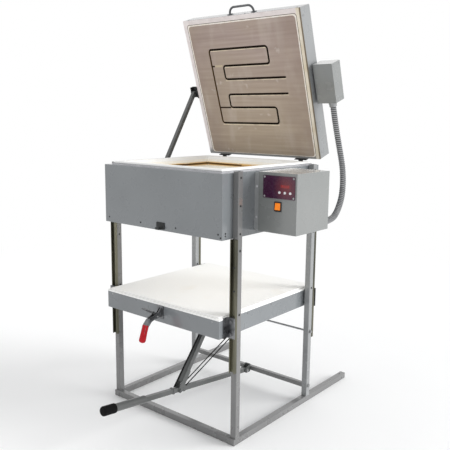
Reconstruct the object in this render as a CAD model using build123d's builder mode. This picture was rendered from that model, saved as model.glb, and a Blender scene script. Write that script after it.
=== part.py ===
from build123d import *
import math
import os

os.makedirs("parts", exist_ok=True)

# Electric kiln with a hinged lid, an open-bottomed firebox on a tube stand, and a hearth
# table that a foot lever raises to close the firebox from below. Millimetres.
# X runs across the kiln to the controller side, Y runs back, Z runs up.
# The origin lies on the floor under the middle of the front base tube.

# Stand
TUBE = 25.4
TUBE_WALL = 2.0
TUBE_CORNER = 2.6
FRAME_WIDTH = 673.0
RUNNER_LENGTH = 831.0
LEG_SPACING = 486.0
LEG_SETBACK = 6.8
LEG_TOP = 1024.0
LEG_HOLE = 6.5
LEG_HOLE_HEIGHTS = [508.0, 744.0, 803.0, 903.0, 1002.0]
RUNNER_SLOT_LENGTH = 14.0
RUNNER_SLOT_WIDTH = 7.0
RUNNER_SLOT_INSET = 31.0
CROSS_BAR = 19.05
CROSS_BAR_HEIGHT = 69.5
ROD_RADIUS = 4.0
ROD_HEIGHT = 315.0
BOLT_RADIUS = 4.0
BOLT_HEAD = 13.0
BOLT_HEAD_THICKNESS = 5.3

# Rails of the table
RAIL_WIDTH = 26.4
RAIL_DEPTH = 12.0
RAIL_WALL = 2.0
RAIL_LIP = 4.2
RAIL_BOTTOM = 287.0
RAIL_LENGTH = 497.0
SLIDE_CLEARANCE = 0.35

# Firebox
CASE_DEPTH = 620.0
CASE_BOTTOM = 785.0
CASE_TOP = 1018.0
CASE_OVERHANG = 50.0
SHEET = 1.5
FIBRE_WALL = 51.0
RIM_INSET = 21.0
RIM_HEIGHT = 6.0
RIM_THICKNESS = 3.0
BOARD_TOP = 1030.4
BOARD_CHAMFER = 4.0
WALL_GROOVE_DROP = 27.0
WALL_GROOVE_HEIGHT = 10.0
WALL_GROOVE_DEPTH = 9.0
WALL_GROOVE_CORNER = 14.0
WALL_ELEMENT_RADIUS = 3.5
WALL_ELEMENT_FEED = 60.0
WALL_ELEMENT_CORNER = 12.0
ELEMENT_SIDES = 8
ELEMENT_SEAT = 0.1
STRIKE_WIDTH = 43.0
STRIKE_HEIGHT = 26.0
STRIKE_REACH = 21.0
STRIKE_SHEET = 3.0
STRIKE_LIP = 9.0
STRIKE_LIP_WIDTH = 18.0
STRIKE_LIFT = 5.0
STRIKE_CORNER = 3.0

PROBE_RADIUS = 4.0
PROBE_REACH = 20.0
PROBE_Z = 900.0

# Lid and its hinges
LID_LEAN = 18.26
HINGE_BEHIND = 17.0
LID_START = 17.3
LID_LENGTH = 615.8
LID_WIDTH = 612.0
LID_THICKNESS = 70.0
LID_FACE_DROP = 13.1
LINING_PROUD = 3.0
GROOVE_WIDTH = 9.0
GROOVE_DEPTH = 10.0
GROOVE_CORNER = 12.0
ELEMENT_RADIUS = 3.4
ELEMENT_FEED_X = 195.0
ELEMENT_TURN_X = 124.0
ELEMENT_SIDE_X = 189.0
ELEMENT_MIDDLE = 335.0
ELEMENT_ROWS = [34.0, 93.0, 165.0]
HINGE_X = 212.0
HINGE_WIDTH = 60.0
HINGE_PIN_RADIUS = 4.0
HINGE_BARREL = 8.0
HINGE_PLATE = 3.0
HINGE_PLATE_HEIGHT = 46.0
HINGE_DROP = 6.0
HINGE_PIN_OVER = 2.0
LEAF_DEPTH = 62.0
LEAF_ARM = 5.0
PIN_CLEARANCE = 0.08
SIDE_PLAY = 0.5
BOW_SPAN = 125.0
BOW_HEIGHT = 33.0
BOW_ROD = 4.5
BOW_FOOT = 12.0
BOW_FOOT_HEIGHT = 2.5
BOW_CORNER = 26.0

# Box on the lid's side, with the conduit down to the control box
JUNCTION_GAP = 8.0
JUNCTION_WIDTH = 87.0
JUNCTION_DEPTH = 63.0
JUNCTION_SETBACK = 22.0
JUNCTION_START = 251.0
JUNCTION_LENGTH = 158.0
SPACER_RADIUS = 6.0
CONDUIT_RADIUS = 12.7
CONDUIT_BORE = 9.5
CONDUIT_ROOT = 11.4
CONDUIT_SIDES = 12
CONDUIT_DROP = 80.0
CONDUIT_BENDS = [(392.0, 580.0, 1095.0), (418.0, 574.0, 1000.0), (440.0, 538.0, 905.0), (456.0, 471.0, 842.0)]
CONDUIT_LAST_Y = 411.0
CONDUIT_BEND_SHARE = 0.45
RIB_PITCH = 10.5
RIB_SHARES = [(0.15, False), (0.35, True), (0.75, True), (0.95, False)]
CONNECTOR_RADIUS = 16.5
CONNECTOR_LENGTH = 18.0
CONNECTOR_STEP = 1.5
CONNECTOR_COLLAR = 0.55
CONDUIT_X = 465.0
CONDUIT_Z = 819.0
LID_PORT_X = 373.0
LID_PORT_DEPTH = -54.0

# Lid stay on the other side
STAY_X = -333.0
STAY_PIN_U = 312.5
STAY_PIN_DROP = 16.8
GUIDE_DROP = 70.0
GUIDE_GAP = 0.3
GUIDE_BOSS = 9.0
BRACKET_SHEET = 3.0
STAY_PIN_RADIUS = 4.0
STAY_BAR = 16.0
STAY_BAR_LENGTH = 478.0
STAY_GAP = 0.5
STAY_BRACKET_LENGTH = 50.0
GUIDE_WALL = 3.0
GUIDE_LENGTH = 34.0

# Control box
BOX_FRONT = 117.3
BOX_WIDTH = 166.0
BOX_DEPTH = 215.0
BOX_BOTTOM = 800.0
BOX_STAND = 20.0
BRACKET_INSET = 4.0
PLATE_WIDTH = 137.0
PLATE_HEIGHT = 81.0
PLATE_THICKNESS = 2.0
PLATE_X = 421.0
PLATE_Z = 966.5
PLATE_MARGIN = 12.0
DISPLAY_WIDTH = 41.0
DISPLAY_HEIGHT = 12.0
DISPLAY_X = 448.0
DISPLAY_Z = 971.0
BUTTON_RADIUS = 4.6
BUTTON_CLEARANCE = 0.35
BUTTON_PITCH = 23.0
BUTTON_Z = 949.0
BUTTON_PROUD = 3.2
BUTTON_LENGTH = 11.0
BUTTON_FLANGE = 6.2
BUTTON_FLANGE_THICKNESS = 1.2
BUTTON_SEAT = 0.3
BUTTON_EDGE = 0.7
WINDOW_SINK = 0.4
BUTTON_TRAVEL = 1.2
CARD_THICKNESS = 1.6
CARD_CLEARANCE = 1.0
POST_RADIUS = 2.5
POST_INSET = 7.0
RELAY_BASE = (58.0, 64.0, 6.0)
RELAY_BODY = (46.0, 50.0, 38.0)
RELAY_SET_BACK = 40.0
RELAY_RAISE = 30.0
TERMINAL_SIZE = (96.0, 26.0, 16.0)
TERMINAL_DROP = 55.0
TERMINAL_PITCH = (22.0, 13.0)
TERMINAL_COUNT = (4, 2)
TERMINAL_WELL = 4.0
TERMINAL_WELL_DEPTH = 8.0
ROCKER_X = 418.0
ROCKER_Z = 897.5
BEZEL_WIDTH = 31.0
BEZEL_HEIGHT = 36.0
BEZEL_PROUD = 3.0
BEZEL_FRAME = 4.0
BEZEL_DEPTH = 22.0
BEZEL_WELL = 15.4
ROCKER_GAP = 0.6
ROCKER_PIN = 1.6
ROCKER_PIN_REACH = 1.4
ROCKER_AXIS_IN = 4.0
ROCKER_POINTS = [(-2.2, 12.6), (-3.8, 0.0), (-5.3, -11.8), (0.0, -12.8), (7.0, -6.0), (7.0, 6.0), (1.0, 13.1)]

# Table
TABLE_GAP = 6.4
TABLE_FRONT = -67.4
TABLE_DEPTH = 629.7
TRAY_BOTTOM = 424.0
TRAY_HEIGHT = 68.0
EDGE_HEIGHT = 6.0
EDGE_INSET = 9.0
BOARD_HEIGHT = 12.0
CARRIAGE_BOTTOM = 422.0
CARRIAGE_HEIGHT = 78.0
CARRIAGE_PLATE = 3.0
CARRIAGE_FLANGE = 26.0
CARRIAGE_OUTSET = 2.8
PLATE_BOLT = 5.5
PLATE_BOLT_HEAD = 4.0
CARRIAGE_OVERHANG = 3.5
BOARD_ROUND = 2.0

# Lever, link and the table's lug
LEVER_X = 16.0
LEVER_TUBE = 19.05
PIVOT_Y = 457.3
PIVOT_Z = 66.0
LEVER_TILT = 7.07
LEVER_TO_LINK = 439.34
LEVER_BEHIND = 16.0
LEVER_FRONT = 690.0
HANDLE_START = 628.0
HANDLE_LENGTH = 184.0
HANDLE_RADIUS = 15.0
HANDLE_WALL = 1.5
CAP_RADIUS = 18.0
CAP_LENGTH = 56.0
CAP_OVERLAP = 36.0
CAP_ROUND = 6.0
CLIP_PLACES = [413.0, 474.0]
CLIP_THICKNESS = 2.0
CLIP_LENGTH = 9.0
CLEVIS_EAR = 4.0
CLEVIS_ROUND = 12.0
LINK_LEAN = 36.86
LINK_LENGTH = 344.89
LINK_TUBE = 20.2
LINK_START = 30.0
CHEEK_THICKNESS = 3.0
CHEEK_LENGTH = 78.0
CHEEK_RADIUS = 12.0
LUG_DRIFT_BACK = 14.8
LUG_DRIFT_UP = 11.6
LUG_CLEARANCE = 1.0
LUG_THICKNESS = 3.0
LUG_DROP = 42.0
LUG_EDGE = 9.0
LUG_CORNER = 8.0

# Elastic cords
LIFT_CORD_RADIUS = 2.3
LIFT_CORD_SPREAD = 9.0
WRAP_TURN = 250.0
CORD_SEAT = 0.3
LINK_CORD_RADIUS = 3.6
LINK_CORD_OVER = 4.0

# Toggle clamp on the table's front
CLAMP_X = 8.0
CLAMP_WIDTH = 36.0
CLAMP_HEIGHT = 50.0
CLAMP_BOTTOM = 441.0
CLAMP_PLATE = 3.0
CLAMP_CHEEK = 3.0
CLAMP_CHEEK_GAP = 7.0
CLAMP_CHEEK_DROP = 6.0
CLAMP_EAR = 7.0
CLAMP_PIVOT_Y = -92.0
CLAMP_PIVOT_Z = 455.0
CLAMP_PIN_RADIUS = 3.0
ARM_THICKNESS = 3.0
ARM_WIDTH = 15.0
ARM_POINTS = [(-104.0, 456.0), (-127.0, 448.0), (-147.0, 428.0), (-157.0, 399.0)]
GRIP_POINTS = [(-146.5, 429.0), (-166.0, 371.0)]
GRIP_RADIUS = 10.5
GRIP_TAPER = -1.2
GRIP_ROUND = 5.0
HOOK_PIVOT_Y = -99.0
HOOK_PIVOT_Z = 466.0
HOOK_RISE = 30.0
HOOK_LENGTH = 66.0
HOOK_ROD = 3.0
HOOK_CORNERS = [4.0, 8.0, 8.0, 4.0]
HOOK_SEAT = 0.4

# Places that follow from the sizes above
HALF_WIDTH = FRAME_WIDTH / 2
INNER_X = HALF_WIDTH - TUBE
SIDE_X = HALF_WIDTH - TUBE / 2
TUBE_BORE = TUBE - 2 * TUBE_WALL
FRONT_LEG_Y = LEG_SETBACK
REAR_LEG_Y = FRONT_LEG_Y + LEG_SPACING
FRONT_RAIL_Y = FRONT_LEG_Y - TUBE / 2
REAR_RAIL_Y = REAR_LEG_Y + TUBE / 2
CASE_FRONT = -TUBE / 2 - CASE_OVERHANG
CASE_BACK = CASE_FRONT + CASE_DEPTH
CASE_MIDDLE = (CASE_FRONT + CASE_BACK) / 2
CASE_HEIGHT = CASE_TOP - CASE_BOTTOM
LINING_X = INNER_X - SHEET
PROBE_Y = BOX_FRONT + BOX_DEPTH / 2
LINING_DEPTH = CASE_DEPTH - 2 * SHEET
CHAMBER_X = LINING_X - FIBRE_WALL
CHAMBER_DEPTH = LINING_DEPTH - 2 * FIBRE_WALL
HINGE_Y = CASE_BACK + HINGE_BEHIND
HINGE_Z = CASE_TOP
LEAN = math.radians(LID_LEAN)
LID_DIRECTION = (0, -math.sin(LEAN), math.cos(LEAN))
LID_PLANE = Plane(origin=(0, HINGE_Y, HINGE_Z), x_dir=(1, 0, 0), z_dir=(0, -math.cos(LEAN), -math.sin(LEAN)))
LID_BACK = -LID_FACE_DROP - LID_THICKNESS
LID_MIDDLE = LID_START + LID_LENGTH / 2


def finish(piece, name):
    """Label a finished piece and write it to its own file."""
    piece.part.label = name
    export_step(piece.part, f"parts/{name}.step")


# Base tubes
with BuildPart() as front_bar:
    with BuildSketch(Plane.YZ.offset(-INNER_X)) as bar_section:
        with Locations((0, TUBE / 2)):
            RectangleRounded(TUBE, TUBE, TUBE_CORNER)
            Rectangle(TUBE_BORE, TUBE_BORE, mode=Mode.SUBTRACT)
    extrude(amount=2 * INNER_X)
finish(front_bar, "front_bar")


# Floor runners, each with an oblong fixing hole near its rear end
RUNNER_REAR = RUNNER_LENGTH - TUBE / 2
with BuildPart() as runners:
    with BuildSketch(Plane.XZ.offset(TUBE / 2)) as runner_section:
        with Locations((-SIDE_X, TUBE / 2), (SIDE_X, TUBE / 2)):
            RectangleRounded(TUBE, TUBE, TUBE_CORNER)
            Rectangle(TUBE_BORE, TUBE_BORE, mode=Mode.SUBTRACT)
    extrude(amount=-RUNNER_LENGTH)
    with BuildSketch(Plane.XY.offset(TUBE)) as runner_slots:
        with Locations((-SIDE_X, RUNNER_REAR - RUNNER_SLOT_INSET), (SIDE_X, RUNNER_REAR - RUNNER_SLOT_INSET)):
            SlotOverall(RUNNER_SLOT_LENGTH, RUNNER_SLOT_WIDTH, rotation=90)
    extrude(amount=-2 * TUBE_WALL, mode=Mode.SUBTRACT)
finish(runners, "runners")


def make_legs(y, through_holes):
    """A pair of legs with a row of small holes in their outer walls."""
    with BuildPart() as legs:
        with BuildSketch(Plane.XY.offset(TUBE)) as section:
            with Locations((-SIDE_X, y), (SIDE_X, y)):
                RectangleRounded(TUBE, TUBE, TUBE_CORNER)
                Rectangle(TUBE_BORE, TUBE_BORE, mode=Mode.SUBTRACT)
        extrude(amount=LEG_TOP - TUBE)
        for side in (-1, 1):
            with BuildSketch(Plane.YZ.offset(side * HALF_WIDTH)) as holes:
                with Locations([(y, height) for height in LEG_HOLE_HEIGHTS]):
                    Circle(LEG_HOLE / 2)
            extrude(amount=-side * 1.5 * TUBE_WALL, mode=Mode.SUBTRACT)
        for height, radius in through_holes:
            with BuildSketch(Plane.YZ.offset(-FRAME_WIDTH)) as bore:
                with Locations((y, height)):
                    Circle(radius)
            extrude(amount=2 * FRAME_WIDTH, mode=Mode.SUBTRACT)
    return legs


finish(make_legs(FRONT_LEG_Y, []), "front_legs")
finish(make_legs(REAR_LEG_Y, [(ROD_HEIGHT, ROD_RADIUS + PIN_CLEARANCE)]), "rear_legs")

# Cross bar between the rear legs, near the floor
with BuildPart() as rear_cross_bar:
    with BuildSketch(Plane.YZ.offset(-INNER_X)) as cross_section:
        with Locations((REAR_LEG_Y, CROSS_BAR_HEIGHT)):
            RectangleRounded(CROSS_BAR, CROSS_BAR, 2)
            Rectangle(CROSS_BAR - 2 * TUBE_WALL, CROSS_BAR - 2 * TUBE_WALL, mode=Mode.SUBTRACT)
    extrude(amount=2 * INNER_X)
finish(rear_cross_bar, "rear_cross_bar")

# Rod through the rear legs that anchors the lift cord, with a nut on each end
with BuildPart() as cord_rod:
    with BuildSketch(Plane.YZ.offset(-HALF_WIDTH - 1.5 * BOLT_HEAD_THICKNESS)) as rod_section:
        with Locations((REAR_LEG_Y, ROD_HEIGHT)):
            Circle(ROD_RADIUS)
    extrude(amount=FRAME_WIDTH + 3 * BOLT_HEAD_THICKNESS)
    for side in (-1, 1):
        with BuildSketch(Plane.YZ.offset(side * HALF_WIDTH)) as rod_nut:
            with Locations((REAR_LEG_Y, ROD_HEIGHT)):
                RegularPolygon(BOLT_HEAD / 2, 6, major_radius=False)
        extrude(amount=side * BOLT_HEAD_THICKNESS)
finish(cord_rod, "cord_rod")

# Clevis on the cross bar's front face that carries the lever
CLEVIS_INNER = LEVER_TUBE / 2 + SIDE_PLAY
CLEVIS_BACK = REAR_LEG_Y - CROSS_BAR / 2
with BuildPart() as lever_clevis:
    with BuildSketch(Plane.YZ.offset(LEVER_X - CLEVIS_INNER - CLEVIS_EAR)) as ear_outline:
        with BuildLine():
            Line((CLEVIS_BACK, PIVOT_Z - CLEVIS_ROUND), (PIVOT_Y, PIVOT_Z - CLEVIS_ROUND))
            ThreePointArc(
                (PIVOT_Y, PIVOT_Z - CLEVIS_ROUND),
                (PIVOT_Y - CLEVIS_ROUND, PIVOT_Z),
                (PIVOT_Y, PIVOT_Z + CLEVIS_ROUND),
            )
            Line((PIVOT_Y, PIVOT_Z + CLEVIS_ROUND), (CLEVIS_BACK, PIVOT_Z + 2 * CLEVIS_ROUND))
            Line((CLEVIS_BACK, PIVOT_Z + 2 * CLEVIS_ROUND), (CLEVIS_BACK, PIVOT_Z - CLEVIS_ROUND))
        make_face()
        with Locations((PIVOT_Y, PIVOT_Z)):
            Circle(BOLT_RADIUS, mode=Mode.SUBTRACT)
    extrude(amount=2 * (CLEVIS_INNER + CLEVIS_EAR))
    with BuildSketch(Plane.YZ.offset(LEVER_X - CLEVIS_INNER)) as clevis_slot:
        with Locations((CLEVIS_BACK - CLEVIS_EAR - 2 * TUBE, PIVOT_Z)):
            Rectangle(4 * TUBE, 4 * TUBE)
    extrude(amount=2 * CLEVIS_INNER, mode=Mode.SUBTRACT)
finish(lever_clevis, "lever_clevis")

# Lever pivot bolt and the four bolts that hold the cross bar in the rear legs
with BuildPart() as frame_bolts:
    with BuildSketch(Plane.YZ.offset(LEVER_X - CLEVIS_INNER - CLEVIS_EAR)) as pivot_shank:
        with Locations((PIVOT_Y, PIVOT_Z)):
            Circle(BOLT_RADIUS - PIN_CLEARANCE)
    extrude(amount=2 * (CLEVIS_INNER + CLEVIS_EAR))
    for side in (-1, 1):
        with BuildSketch(Plane.YZ.offset(LEVER_X + side * (CLEVIS_INNER + CLEVIS_EAR))) as pivot_head:
            with Locations((PIVOT_Y, PIVOT_Z)):
                RegularPolygon(BOLT_HEAD / 2, 6, major_radius=False)
        extrude(amount=side * BOLT_HEAD_THICKNESS)
        with BuildSketch(Plane.YZ.offset(side * HALF_WIDTH)) as leg_head:
            with Locations((REAR_LEG_Y, CROSS_BAR_HEIGHT + TUBE_WALL)):
                RegularPolygon(BOLT_HEAD / 2, 6, major_radius=False)
        extrude(amount=side * BOLT_HEAD_THICKNESS)
finish(frame_bolts, "frame_bolts")


def make_rails(y, out):
    """A pair of upright channel rails on the legs, open away from them."""
    middle = y + out * RAIL_DEPTH / 2
    with BuildPart() as rails:
        with BuildSketch(Plane.XY.offset(RAIL_BOTTOM)) as section:
            with Locations((-SIDE_X, middle), (SIDE_X, middle)):
                Rectangle(RAIL_WIDTH, RAIL_DEPTH)
                Rectangle(RAIL_WIDTH - 2 * RAIL_WALL, RAIL_DEPTH - 2 * RAIL_WALL, mode=Mode.SUBTRACT)
            with Locations((-SIDE_X, middle + out * RAIL_DEPTH / 2), (SIDE_X, middle + out * RAIL_DEPTH / 2)):
                Rectangle(RAIL_WIDTH - 2 * RAIL_LIP, 2.5 * RAIL_WALL, mode=Mode.SUBTRACT)
        extrude(amount=RAIL_LENGTH)
    return rails


finish(make_rails(FRONT_RAIL_Y, -1), "front_rails")
finish(make_rails(REAR_RAIL_Y, 1), "rear_rails")

# Firebox: sheet case, fibre lining with its element groove, rim, top board and strike
with BuildPart() as firebox_case:
    with BuildSketch(Plane.XY.offset(CASE_BOTTOM)) as case_section:
        with Locations((0, CASE_MIDDLE)):
            Rectangle(2 * INNER_X, CASE_DEPTH)
            Rectangle(2 * LINING_X, LINING_DEPTH, mode=Mode.SUBTRACT)
    extrude(amount=CASE_HEIGHT)
    with BuildSketch(Plane.XY.offset(CASE_TOP)) as top_flange:
        with Locations((0, CASE_MIDDLE)):
            Rectangle(2 * LINING_X, LINING_DEPTH)
            Rectangle(2 * (INNER_X - RIM_INSET), CASE_DEPTH - 2 * RIM_INSET, mode=Mode.SUBTRACT)
    extrude(amount=-SHEET)
finish(firebox_case, "firebox_case")

GROOVE_MIDDLE = CASE_TOP - WALL_GROOVE_DROP + WALL_GROOVE_HEIGHT / 2
with BuildPart() as chamber_lining:
    with BuildSketch(Plane.XY.offset(CASE_BOTTOM)) as lining_section:
        with Locations((0, CASE_MIDDLE)):
            Rectangle(2 * LINING_X, LINING_DEPTH)
            Rectangle(2 * CHAMBER_X, CHAMBER_DEPTH, mode=Mode.SUBTRACT)
    extrude(amount=CASE_HEIGHT - SHEET)
    with BuildSketch(Plane.XY.offset(GROOVE_MIDDLE - WALL_GROOVE_HEIGHT / 2)) as wall_groove:
        with Locations((0, CASE_MIDDLE)):
            RectangleRounded(2 * (CHAMBER_X + WALL_GROOVE_DEPTH), CHAMBER_DEPTH + 2 * WALL_GROOVE_DEPTH, WALL_GROOVE_CORNER)
            Rectangle(2 * CHAMBER_X - 1, CHAMBER_DEPTH - 1, mode=Mode.SUBTRACT)
    extrude(amount=WALL_GROOVE_HEIGHT, mode=Mode.SUBTRACT)
    with BuildSketch(Plane.YZ.offset(CHAMBER_X - PROBE_REACH)) as probe_hole:
        with Locations((PROBE_Y, PROBE_Z)):
            Circle(PROBE_RADIUS)
    extrude(amount=2 * FIBRE_WALL, mode=Mode.SUBTRACT)
finish(chamber_lining, "chamber_lining")

ELEMENT_INSET = WALL_GROOVE_DEPTH - WALL_ELEMENT_RADIUS - 2 * ELEMENT_SEAT
with BuildPart() as wall_element:
    with BuildLine() as element_loop:
        loop_x = CHAMBER_X + ELEMENT_INSET
        loop_y = CHAMBER_DEPTH / 2 + ELEMENT_INSET
        FilletPolyline(
            (-WALL_ELEMENT_FEED, CASE_MIDDLE + loop_y, GROOVE_MIDDLE),
            (-loop_x, CASE_MIDDLE + loop_y, GROOVE_MIDDLE),
            (-loop_x, CASE_MIDDLE - loop_y, GROOVE_MIDDLE),
            (loop_x, CASE_MIDDLE - loop_y, GROOVE_MIDDLE),
            (loop_x, CASE_MIDDLE + loop_y, GROOVE_MIDDLE),
            (WALL_ELEMENT_FEED, CASE_MIDDLE + loop_y, GROOVE_MIDDLE),
            radius=WALL_ELEMENT_CORNER,
        )
    with BuildSketch(Plane(origin=element_loop.line @ 0, z_dir=element_loop.line % 0)):
        RegularPolygon(WALL_ELEMENT_RADIUS, ELEMENT_SIDES)
    sweep()
finish(wall_element, "wall_element")

with BuildPart() as rim_band:
    with BuildSketch(Plane.XY.offset(CASE_TOP)) as rim_section:
        with Locations((0, CASE_MIDDLE)):
            Rectangle(2 * (INNER_X - RIM_INSET), CASE_DEPTH - 2 * RIM_INSET)
            Rectangle(
                2 * (INNER_X - RIM_INSET - RIM_THICKNESS),
                CASE_DEPTH - 2 * (RIM_INSET + RIM_THICKNESS),
                mode=Mode.SUBTRACT,
            )
    extrude(amount=RIM_HEIGHT)
finish(rim_band, "rim_band")

with BuildPart() as top_board:
    with BuildSketch(Plane.XY.offset(CASE_TOP - SHEET)) as top_section:
        with Locations((0, CASE_MIDDLE)):
            Rectangle(
                2 * (INNER_X - RIM_INSET - RIM_THICKNESS),
                CASE_DEPTH - 2 * (RIM_INSET + RIM_THICKNESS),
            )
            Rectangle(2 * CHAMBER_X, CHAMBER_DEPTH, mode=Mode.SUBTRACT)
    extrude(amount=BOARD_TOP - CASE_TOP + SHEET)
    top_edges = top_board.faces().sort_by(Axis.Z)[-1].outer_wire().edges()
    chamfer(top_edges, BOARD_CHAMFER)
finish(top_board, "top_board")

# Strike for the clamp's hook: a wide back plate with a narrow shelf and upturned lip
STRIKE_LOW = CASE_BOTTOM + STRIKE_LIFT
with BuildPart() as strike_plate:
    with BuildSketch(Plane.XZ.offset(-CASE_FRONT)) as strike_back:
        with Locations((CLAMP_X, STRIKE_LOW + STRIKE_HEIGHT / 2)):
            RectangleRounded(STRIKE_WIDTH, STRIKE_HEIGHT, STRIKE_CORNER)
    extrude(amount=STRIKE_SHEET)
    with BuildSketch(Plane.YZ.offset(CLAMP_X - STRIKE_LIP_WIDTH / 2)) as strike_lip:
        with BuildLine():
            Polyline(
                (CASE_FRONT - STRIKE_SHEET, STRIKE_LOW),
                (CASE_FRONT - STRIKE_REACH, STRIKE_LOW),
                (CASE_FRONT - STRIKE_REACH, STRIKE_LOW + STRIKE_LIP),
                (CASE_FRONT - STRIKE_REACH + STRIKE_SHEET, STRIKE_LOW + STRIKE_LIP),
                (CASE_FRONT - STRIKE_REACH + STRIKE_SHEET, STRIKE_LOW + STRIKE_SHEET),
                (CASE_FRONT - STRIKE_SHEET, STRIKE_LOW + STRIKE_SHEET),
                close=True,
            )
        make_face()
    extrude(amount=STRIKE_LIP_WIDTH)
finish(strike_plate, "strike_plate")

# Thermocouple: a ceramic sheath through the controller side's wall
with BuildPart() as thermocouple:
    with BuildSketch(Plane.YZ.offset(CHAMBER_X - PROBE_REACH)) as probe_section:
        with Locations((PROBE_Y, PROBE_Z)):
            Circle(PROBE_RADIUS)
    extrude(amount=PROBE_REACH + FIBRE_WALL)
finish(thermocouple, "thermocouple")

# Control box: stand-off bracket, box, back cover, plate, display, buttons and rocker
BOX_LEFT = INNER_X + BOX_STAND
BOX_X = BOX_LEFT + BOX_WIDTH / 2
BOX_HEIGHT = CASE_TOP - BOX_BOTTOM
BOX_BACK = BOX_FRONT + BOX_DEPTH
BOX_Y = (BOX_FRONT + BOX_BACK) / 2
BOX_Z = BOX_BOTTOM + BOX_HEIGHT / 2
with BuildPart() as control_bracket:
    with BuildSketch(Plane.XY.offset(BOX_BOTTOM)) as bracket_section:
        with Locations((INNER_X + BOX_STAND / 2, BOX_Y)):
            Rectangle(BOX_STAND, BOX_DEPTH - 2 * BRACKET_INSET)
            Rectangle(BOX_STAND - 2 * SHEET, BOX_DEPTH - 2 * BRACKET_INSET - 2 * SHEET, mode=Mode.SUBTRACT)
    extrude(amount=BOX_HEIGHT - BRACKET_INSET)
finish(control_bracket, "control_bracket")

with BuildPart() as control_box:
    with BuildSketch(Plane.XZ.offset(-BOX_FRONT)) as box_outline:
        with Locations((BOX_X, BOX_Z)):
            Rectangle(BOX_WIDTH, BOX_HEIGHT)
    extrude(amount=-(BOX_DEPTH - SHEET))
    with BuildSketch(Plane.XZ.offset(-BOX_FRONT - SHEET)) as box_cavity:
        with Locations((BOX_X, BOX_Z)):
            Rectangle(BOX_WIDTH - 2 * SHEET, BOX_HEIGHT - 2 * SHEET)
    extrude(amount=-BOX_DEPTH, mode=Mode.SUBTRACT)
    with BuildSketch(Plane.XZ.offset(-BOX_FRONT)) as front_cuts:
        with Locations((PLATE_X, PLATE_Z)):
            Rectangle(PLATE_WIDTH - 2 * PLATE_MARGIN, PLATE_HEIGHT - 2 * PLATE_MARGIN)
        with Locations((ROCKER_X, ROCKER_Z)):
            Rectangle(BEZEL_WIDTH - BEZEL_FRAME, BEZEL_HEIGHT - BEZEL_FRAME)
    extrude(amount=-2 * SHEET, mode=Mode.SUBTRACT)
finish(control_box, "control_box")

with BuildPart() as control_back_cover:
    with BuildSketch(Plane.XZ.offset(-BOX_BACK)) as cover_outline:
        with Locations((BOX_X, BOX_Z)):
            Rectangle(BOX_WIDTH, BOX_HEIGHT)
    extrude(amount=SHEET)
finish(control_back_cover, "control_back_cover")

BUTTON_XS = [DISPLAY_X + step * BUTTON_PITCH for step in (-1, 0, 1)]
with BuildPart() as controller_plate:
    with BuildSketch(Plane.XZ.offset(-BOX_FRONT)) as plate_outline:
        with Locations((PLATE_X, PLATE_Z)):
            RectangleRounded(PLATE_WIDTH, PLATE_HEIGHT, 3)
        with Locations((DISPLAY_X, DISPLAY_Z)):
            Rectangle(DISPLAY_WIDTH, DISPLAY_HEIGHT, mode=Mode.SUBTRACT)
        with Locations([(x, BUTTON_Z) for x in BUTTON_XS]):
            Circle(BUTTON_RADIUS + BUTTON_CLEARANCE, mode=Mode.SUBTRACT)
    extrude(amount=PLATE_THICKNESS)
finish(controller_plate, "controller_plate")

with BuildPart() as display_window:
    with BuildSketch(Plane.XZ.offset(-BOX_FRONT)) as window_outline:
        with Locations((DISPLAY_X, DISPLAY_Z)):
            Rectangle(DISPLAY_WIDTH, DISPLAY_HEIGHT)
    extrude(amount=PLATE_THICKNESS - WINDOW_SINK)
finish(display_window, "display_window")

BUTTON_BACK = BOX_FRONT - PLATE_THICKNESS - BUTTON_PROUD + BUTTON_LENGTH
for button_name, button_x in zip(("left_button", "middle_button", "right_button"), BUTTON_XS):
    with BuildPart() as button:
        with BuildSketch(Plane.XZ.offset(-BUTTON_BACK)) as button_shank:
            with Locations((button_x, BUTTON_Z)):
                Circle(BUTTON_RADIUS)
        extrude(amount=BUTTON_LENGTH)
        chamfer(button.faces().sort_by(Axis.Y)[0].edges(), BUTTON_EDGE)
        with BuildSketch(Plane.XZ.offset(-BOX_FRONT - BUTTON_SEAT)) as button_flange:
            with Locations((button_x, BUTTON_Z)):
                Circle(BUTTON_FLANGE)
        extrude(amount=-BUTTON_FLANGE_THICKNESS)
    finish(button, button_name)

# Circuit board behind the plate, on three posts that clear the buttons
POST_X = PLATE_WIDTH / 2 - PLATE_MARGIN - POST_INSET
POST_Z = PLATE_HEIGHT / 2 - PLATE_MARGIN - POST_INSET
CARD_Y = BUTTON_BACK + BUTTON_TRAVEL + CARD_CLEARANCE
with BuildPart() as circuit_board:
    with BuildSketch(Plane.XZ.offset(-CARD_Y)) as card_outline:
        with Locations((PLATE_X, PLATE_Z)):
            Rectangle(2 * (POST_X + 2 * POST_RADIUS), 2 * (POST_Z + 2 * POST_RADIUS))
    extrude(amount=-CARD_THICKNESS)
    with BuildSketch(Plane.XZ.offset(-CARD_Y)) as card_posts:
        with Locations((PLATE_X, PLATE_Z)):
            with Locations((-POST_X, POST_Z), (POST_X, POST_Z), (-POST_X, -POST_Z)):
                Circle(POST_RADIUS)
    extrude(amount=CARD_Y - BOX_FRONT)
finish(circuit_board, "circuit_board")

# Relay and terminal block on the box's left wall
with BuildPart() as relay:
    with BuildSketch(Plane.YZ.offset(BOX_LEFT + SHEET)) as relay_base:
        with Locations((BOX_Y + RELAY_SET_BACK, BOX_Z + RELAY_RAISE)):
            RectangleRounded(*RELAY_BASE[:2], 3)
    extrude(amount=RELAY_BASE[2])
    with BuildSketch(Plane.YZ.offset(BOX_LEFT + SHEET + RELAY_BASE[2])) as relay_body:
        with Locations((BOX_Y + RELAY_SET_BACK, BOX_Z + RELAY_RAISE)):
            RectangleRounded(*RELAY_BODY[:2], 2)
    extrude(amount=RELAY_BODY[2])
finish(relay, "relay")

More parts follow.
